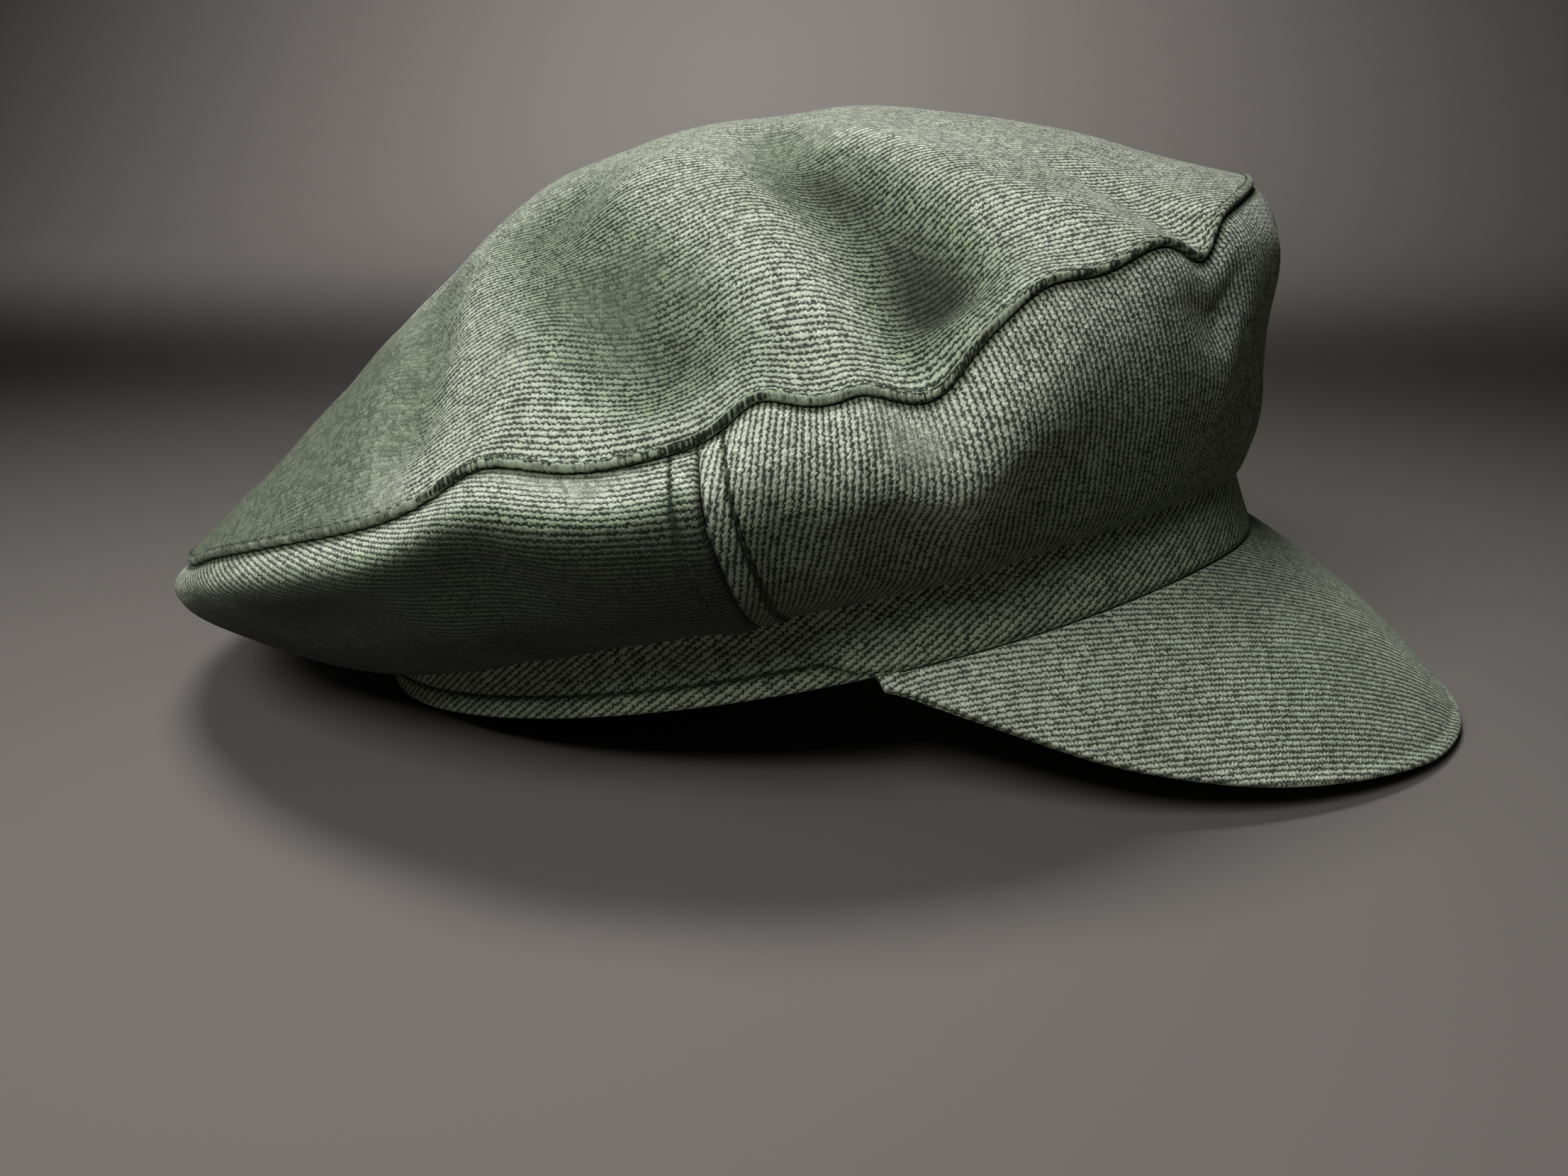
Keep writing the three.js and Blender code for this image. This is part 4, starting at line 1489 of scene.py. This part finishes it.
@dataclass(frozen=True)
class Headband:
    """The plain band: a folded strip with a row of stitching above its foot."""

    form: CapForm
    columns: int = 420
    stitch_up: float = 4.0
    flat: tuple[float, float] = (0.585, 0.02)

    def stitch_height(self, turn: np.ndarray) -> np.ndarray:
        """Height of the stitching over the foot: level at the back, down to the peak's corners."""
        corner = self.form.from_front(turn) - self.form.peak_corner_turn
        return self.stitch_up * ramp(corner / 8) + 0.6

    def build(self, material: bpy.types.Material, thread: bpy.types.Material) -> bpy.types.Object:
        """Builds the band as a ring of one closed section, and its stitching.

        Args:
            material: The cloth's material.
            thread: The stitches' material.

        Returns:
            The band's object.
        """
        form = self.form
        turn = np.linspace(0, 360, self.columns + 1)[:, None]
        half = form.band_wall / 2
        top = form.band_height - 0.4
        high = spread(((half, 8, 22), (8, top, 12)))[None, :]
        base = form.band(turn, high / form.band_height)
        outward = unit(spot(turn, 1.0 + 0 * turn, 0.0))
        groove = -0.4 * bell((high - self.stitch_height(turn)) / 0.5)
        groove = groove * (form.from_front(turn) > form.peak_corner_turn)
        puff = 0.12 * np.sin(math.pi * np.clip(high / 5, 0, 1))
        outer = base + outward * (groove + puff)[..., None]
        centre = form.band(turn, half / form.band_height + 0 * turn) - outward * half
        upward = np.array([0.0, 0.0, 1.0])
        angle = np.linspace(0, math.pi, 11)[None, 1:, None]
        lip = centre + half * (outward * np.cos(angle) - upward * np.sin(angle))
        inner_high = np.linspace(2.0, top, 8)[None, :]
        inner = form.band(turn, inner_high / form.band_height) - outward * form.band_wall
        section = np.concatenate([outer[:, ::-1], lip, inner], axis=1)
        length = arc(form.band(turn, 0 * turn), 0)
        drop = arc(section, 1)
        flats = np.stack([-(length + 0 * drop), -drop], axis=-1)
        # Painted shade in the stitching's groove.
        wear_light_and_shade = 0.55 - 1.2 * bell((high - self.stitch_height(turn)) / 0.6)
        plain = [np.full(lip.shape[:2], 0.6), np.full(inner.shape[:2], 0.4)]
        wears_with_light_and_shade = np.concatenate([wear_light_and_shade[:, ::-1], *plain], axis=1)
        cloth = ClothMesh("headband_cloth", form)
        numbers = cloth.points(section, flats, wears_with_light_and_shade)
        cloth.quads(np.concatenate([numbers, numbers[:, :1]], axis=1))
        piece = cloth.finish(material)
        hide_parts("headband")
        back_turn = np.linspace(form.peak_corner_turn + 2, 358 - form.peak_corner_turn, 500)
        height = self.stitch_height(back_turn)
        line = form.band(back_turn, height / form.band_height)
        normals = unit(spot(back_turn, 1.0 + 0 * back_turn, 0.0))
        stitches = Stitching("headband_stitches", pitch=3.3, length=2.5, radius=0.24)
        stitches.build(form, [(line - normals * 0.2, normals)], Slot.BAND, thread)
        return piece


@dataclass(frozen=True)
class PeakCover:
    """One cover of the peak, whose rim is rolled over the board inside."""

    name: str
    node: str
    form: CapForm
    depth: float
    roll: float
    tuck: float = 1.3
    columns: int = 260
    flat: tuple[float, float] = (0.2, 0.075)
    fill: float = 0.76

    def unrolled(self, base: np.ndarray) -> np.ndarray:
        """Places of the cover laid out flat, by turning each straight line into one plane.

        The angle between neighbouring lines is added up to give each line's heading, and the steps
        along the band, each at its own angle to the lines, are added up to give its start.

        Args:
            base: Places on the lines, a row for each, from the band outwards.

        Returns:
            Two cloth coordinates in mm for each place: forward and to the left at the middle.
        """
        root, rim = base[:, 0], base[:, -1]
        way = unit(rim - root)
        bend = np.arccos(np.clip((way[:-1] * way[1:]).sum(1), -1, 1))
        heading = -np.concatenate([[0.0], np.cumsum(bend)])
        middle = len(heading) // 2
        heading = heading - heading[middle]
        step = root[1:] - root[:-1]
        length = np.linalg.norm(step, axis=1)
        between = unit(way[:-1] + way[1:])
        angle = (heading[:-1] + heading[1:]) / 2 - np.arccos((step * between).sum(1) / length)
        moves = length[:, None] * np.stack([np.cos(angle), np.sin(angle)], axis=-1)
        start = np.concatenate([np.zeros((1, 2)), np.cumsum(moves, axis=0)])
        start = start - start[middle]
        away = np.linalg.norm(base - base[:, :1], axis=-1)[..., None]
        return start[:, None] + away * np.stack([np.cos(heading), np.sin(heading)], axis=-1)[:, None]

    def build(self, material: bpy.types.Material) -> bpy.types.Object:
        """Builds the cover as a closed wall whose outer rim is half a circle.

        Args:
            material: The cloth's material.

        Returns:
            The cover's object.
        """
        form = self.form
        q = np.linspace(-1, 1, self.columns + 1)[:, None]
        across = np.sign(q) * np.abs(q) ** 0.93
        reach = np.linalg.norm(form.peak(across, 1.0 + 0 * q) - form.peak(across, 0 * q), axis=-1)
        half = form.peak_cover / 2
        away = np.array([7, 5.6, 4.6, 3.8, 3.2, 2.7, 2.3, 1.9, 1.5, 1.1, half])[None, :]
        inner = np.linspace(0, 1, 34)[None, :-1] * (1 - away[:, :1] / reach)
        base = form.peak(across, np.concatenate([inner, 1 - away / reach], axis=1))
        normal = grid_normal(base, 1)
        normal = normal * np.sign(normal[..., 2:3])
        edge = np.concatenate([(1 - inner) * reach, away + 0 * reach], axis=1)
        roll = self.roll * (bell((edge - 1.4) / 1.3) - 0.55 * bell((edge - 3.4) / 0.8))
        roll = roll * ramp((1 - np.abs(across)) * 12)
        face = base - normal * (self.depth - roll)[..., None]
        under = base - normal * (self.depth + form.peak_cover)
        way = unit(np.gradient(base, axis=1)[:, -1:])
        middle = (face[:, -1:] + under[:, -1:]) / 2
        radius = np.linalg.norm(face[:, -1:] - under[:, -1:], axis=-1, keepdims=True) / 2
        angle = np.linspace(0, math.pi, 9)[None, 1:-1, None]
        lip = middle + radius * (normal[:, -1:] * np.cos(angle) + way * np.sin(angle))
        tuck = -self.tuck * unit(spot(across * form.peak_corner_turn, 1.0 + 0 * q, 0.0))
        face = np.concatenate([face[:, :1] + tuck, face], axis=1)
        under = np.concatenate([under[:, :1] + tuck, under], axis=1)
        base = np.concatenate([base[:, :1] + tuck, base], axis=1)
        flat = self.unrolled(base)
        lip_flat = flat[:, -1:] + (flat[:, -1:] - flat[:, -2:-1]) * angle
        flats = np.concatenate([flat, lip_flat, flat[:, ::-1]], axis=1)
        # Paler along the worn rolled rim, and painted light toward the corners.
        wear_light_and_shade = 0.45 + 0.25 * bell((edge - 0.8) / 1.2) + 0.35 * ramp((np.abs(across) - 0.2) / 0.5)
        wear_light_and_shade = np.concatenate([wear_light_and_shade[:, :1], wear_light_and_shade], axis=1)
        plain = [np.full(lip.shape[:2], 0.55), np.full(wear_light_and_shade.shape, 0.4)]
        wears_with_light_and_shade = np.concatenate([wear_light_and_shade, *plain], axis=1)
        cloth = ClothMesh(self.name, form)
        numbers = cloth.points(np.concatenate([face, lip, under[:, ::-1]], axis=1), flats, wears_with_light_and_shade)
        cloth.quads(np.concatenate([numbers, numbers[:, :1]], axis=1))
        count, extra = face.shape[1], lip.shape[1]
        for column in (0, -1):
            ring = numbers[column]
            upper, lower = ring[:count], ring[count + extra :][::-1]
            cloth.quads(np.stack([upper, lower]))
            tip = np.concatenate([[upper[-1]], ring[count : count + extra], [lower[-1], upper[-1]]])
            centre = cloth.points(middle[column], flat[column, -1:], 0.5)[0]
            cloth.fan(centre, tip)
        piece = cloth.finish(material)
        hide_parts(self.node)
        return piece


@dataclass(frozen=True)
class Studio:
    """The floor, the backdrop, the lights and the camera."""

    form: CapForm
    elevation: float = 14.6
    turn: float = 14.0
    roll: float = 12.8
    distance: float = 387.0
    aside: float = 5.8
    above: float = 2.3
    focal_pixels: float = 2300.0
    image_width: float = 2212.0
    sensor: float = 36.0
    floor_tone: tuple[float, float, float] = (0.185, 0.169, 0.158)
    floor_half: float = 3.0
    floor_end: float = 0.95
    wall_bend: float = 0.5
    wall_top: float = 1.6

    def camera(self) -> None:
        """Sets the camera where the photograph was taken from, tipped with the cap."""
        e, t, r = (math.radians(v) for v in (self.elevation, self.turn, self.roll))
        back = np.array([math.sin(t) * math.cos(e), -math.cos(t) * math.cos(e), math.sin(e)])
        right = np.array([math.cos(t), math.sin(t), 0.0])
        up = np.cross(back, right)
        right, up = right * math.cos(r) - up * math.sin(r), right * math.sin(r) + up * math.cos(r)
        eye = back * self.distance - right * self.aside - up * self.above
        place = Vector(self.form.lie(eye))
        columns = [Vector(self.form.axes(axis)) for axis in (right, up, back)]
        data = bpy.data.cameras.new("studio_camera")
        data.sensor_width = self.sensor
        data.lens = self.sensor * self.focal_pixels / self.image_width
        data.clip_start, data.clip_end = 0.01, 20
        camera = bpy.data.objects.new("studio_camera", data)
        turned = Matrix(columns).transposed().to_4x4()
        camera.matrix_world = Matrix.Translation(place) @ turned
        show(camera)
        bpy.context.scene.camera = camera

    def floor(self) -> None:
        """Lays a wide floor that curves up into a backdrop: a line, a quarter circle and a line."""
        half, end, bend = self.floor_half, self.floor_end, self.wall_bend
        angle = np.linspace(0, math.pi / 2, 25)[1:]
        y = np.concatenate([[-half, end], end + bend * np.sin(angle), [end + bend]])
        z = np.concatenate([[0.0, 0.0], bend * (1 - np.cos(angle)), [self.wall_top]])
        x = np.array([-half, half])
        grid = np.stack(np.broadcast_arrays(x[:, None], y[None], z[None]), axis=-1)
        mesh = bpy.data.meshes.new("studio_floor")
        n = len(y)
        faces = [(i, n + i, n + i + 1, i + 1) for i in range(n - 1)]
        mesh.from_pydata(grid.reshape(-1, 3).tolist(), [], faces)
        mesh.polygons.foreach_set("use_smooth", np.ones(len(faces), bool))
        made, _, shader = new_material("studio_paper", 0.85)
        shader.inputs["Base Color"].default_value = (*self.floor_tone, 1)
        mesh.materials.append(made)
        floor = bpy.data.objects.new("studio_floor", mesh)
        show(floor)

    @staticmethod
    def lamp(
        name: str,
        place: tuple[float, float, float],
        aim: tuple[float, float, float],
        size: float,
        power: float,
        spread: float,
    ) -> None:
        """Hangs a square soft lamp.

        Args:
            name: The lamp's name.
            place: Where it hangs, in metres.
            aim: What it points at.
            size: The length of its sides in metres.
            power: Its power in watts.
            spread: The angle of its beam in degrees.
        """
        data = bpy.data.lights.new(name, "AREA")
        data.size, data.energy, data.spread = size, power, math.radians(spread)
        lamp = bpy.data.objects.new(name, data)
        way = Vector(aim) - Vector(place)
        lamp.matrix_world = Matrix.Translation(place) @ way.to_track_quat("-Z", "Y").to_matrix().to_4x4()
        show(lamp)

    def build(self) -> None:
        """Builds the studio."""
        scene = bpy.context.scene
        scene.view_settings.view_transform = "Standard"
        world = bpy.data.worlds.new("studio_air")
        world.use_nodes = True
        sky = world.node_tree.nodes["Background"]
        sky.inputs["Color"].default_value = (0.9, 0.95, 1.0, 1)
        sky.inputs["Strength"].default_value = 0.02
        scene.world = world
        self.floor()
        self.lamp("overhead_softbox", (-0.15, 0.05, 1.0), (-0.04, -0.08, 0.0), 0.35, 0.84, 60)
        self.lamp("front_softbox", (-0.22, -0.68, 0.66), (0.0, -0.05, 0.05), 0.35, 0.55, 60)
        self.lamp("backdrop_softbox", (-0.3, 0.52, 1.1), (-0.3, 1.25, 0.18), 0.4, 4.7, 86)
        self.camera()


def main() -> None:
    """Builds the cap's pieces in order, then the studio."""
    logging.basicConfig(level=logging.INFO, format="%(name)s: %(message)s")
    form = CapForm()
    weave, fade_light_and_shade_tree = weave_group(), fade_light_and_shade_group()
    thread = SewingThread().material()
    pale, dim = (0.55, 0.59, 0.475), (0.008, 0.014, 0.006)
    top_denim = Denim("crown_top_denim", pale, dim, 1.25, 0)
    front_denim = Denim("front_panel_denim", pale, dim, 1.37, 0)
    rear_denim = Denim("back_panel_denim", pale, dim, 1.27, 0)
    band_denim = Denim("headband_denim", (0.47, 0.53, 0.385), (0.009, 0.015, 0.007), 1.33, 29)
    peak_denim = Denim("peak_denim", (0.66, 0.73, 0.57), (0.018, 0.028, 0.016), 1.12, 42, flatness=0.7)
    CrownTop(form).build(top_denim.material(weave, fade_light_and_shade_tree), thread)
    seam = form.side_seam_turn
    front = SidePanel(
        name="front_panel_cloth",
        node="front_side_panel",
        form=form,
        start=-seam,
        end=seam,
        flat=(0.33, 0.072),
        fill=0.85,
        seed=5,
        grain=front_grain,
        # A rubbed place, and a place painted lighter as light.
        patches=(Patch(65.5, 0.9, 3.2, 0.13, 0.95, -0.05), Patch(62, 0.63, 7, 0.12, 0.0, 0.6)),
        crease=0.5,
        crease_drop=0.0,
        crease_shade=0.3,
    )
    rear = SidePanel(
        name="back_panel_cloth",
        node="back_side_panel",
        form=form,
        start=seam,
        end=360 - seam,
        flat=(0.40, 0.08),
        fill=0.8,
        seed=8,
        grain=rear_grain,
        patches=(
            # A rubbed place, then three painted with shade, the first two of them also rubbed.
            Patch(97, 0.97, 8, 0.045, 0.9, 0.0),
            Patch(117, 0.7, 8, 0.05, 0.9, -0.35),
            Patch(118, 0.86, 16, 0.1, 0.2, -0.3),
            Patch(143, 0.97, 14, 0.1, 0.0, -0.6),
        ),
        crease=0.93,
        crease_drop=0.06,
        crease_shade=0.95,
    )
    front.build(front_denim.material(weave, fade_light_and_shade_tree))
    rear.build(rear_denim.material(weave, fade_light_and_shade_tree))
    lines = [panel.stitch_line(start) for panel in (front, rear) for start in (True, False)]
    Stitching("side_seam_stitches").build(form, lines, Slot.CROWN, thread)
    Headband(form).build(band_denim.material(weave, fade_light_and_shade_tree), thread)
    peak_cloth = peak_denim.material(weave, fade_light_and_shade_tree)
    PeakCover("peak_top_cloth", "peak_top_cover", form, 0.0, 0.35).build(peak_cloth)
    lower = form.peak_cover + form.gap
    PeakCover("peak_under_cloth", "peak_under_cover", form, lower, 0.0).build(peak_cloth)
    Studio(form).build()


if __name__ == "__main__":
    main()
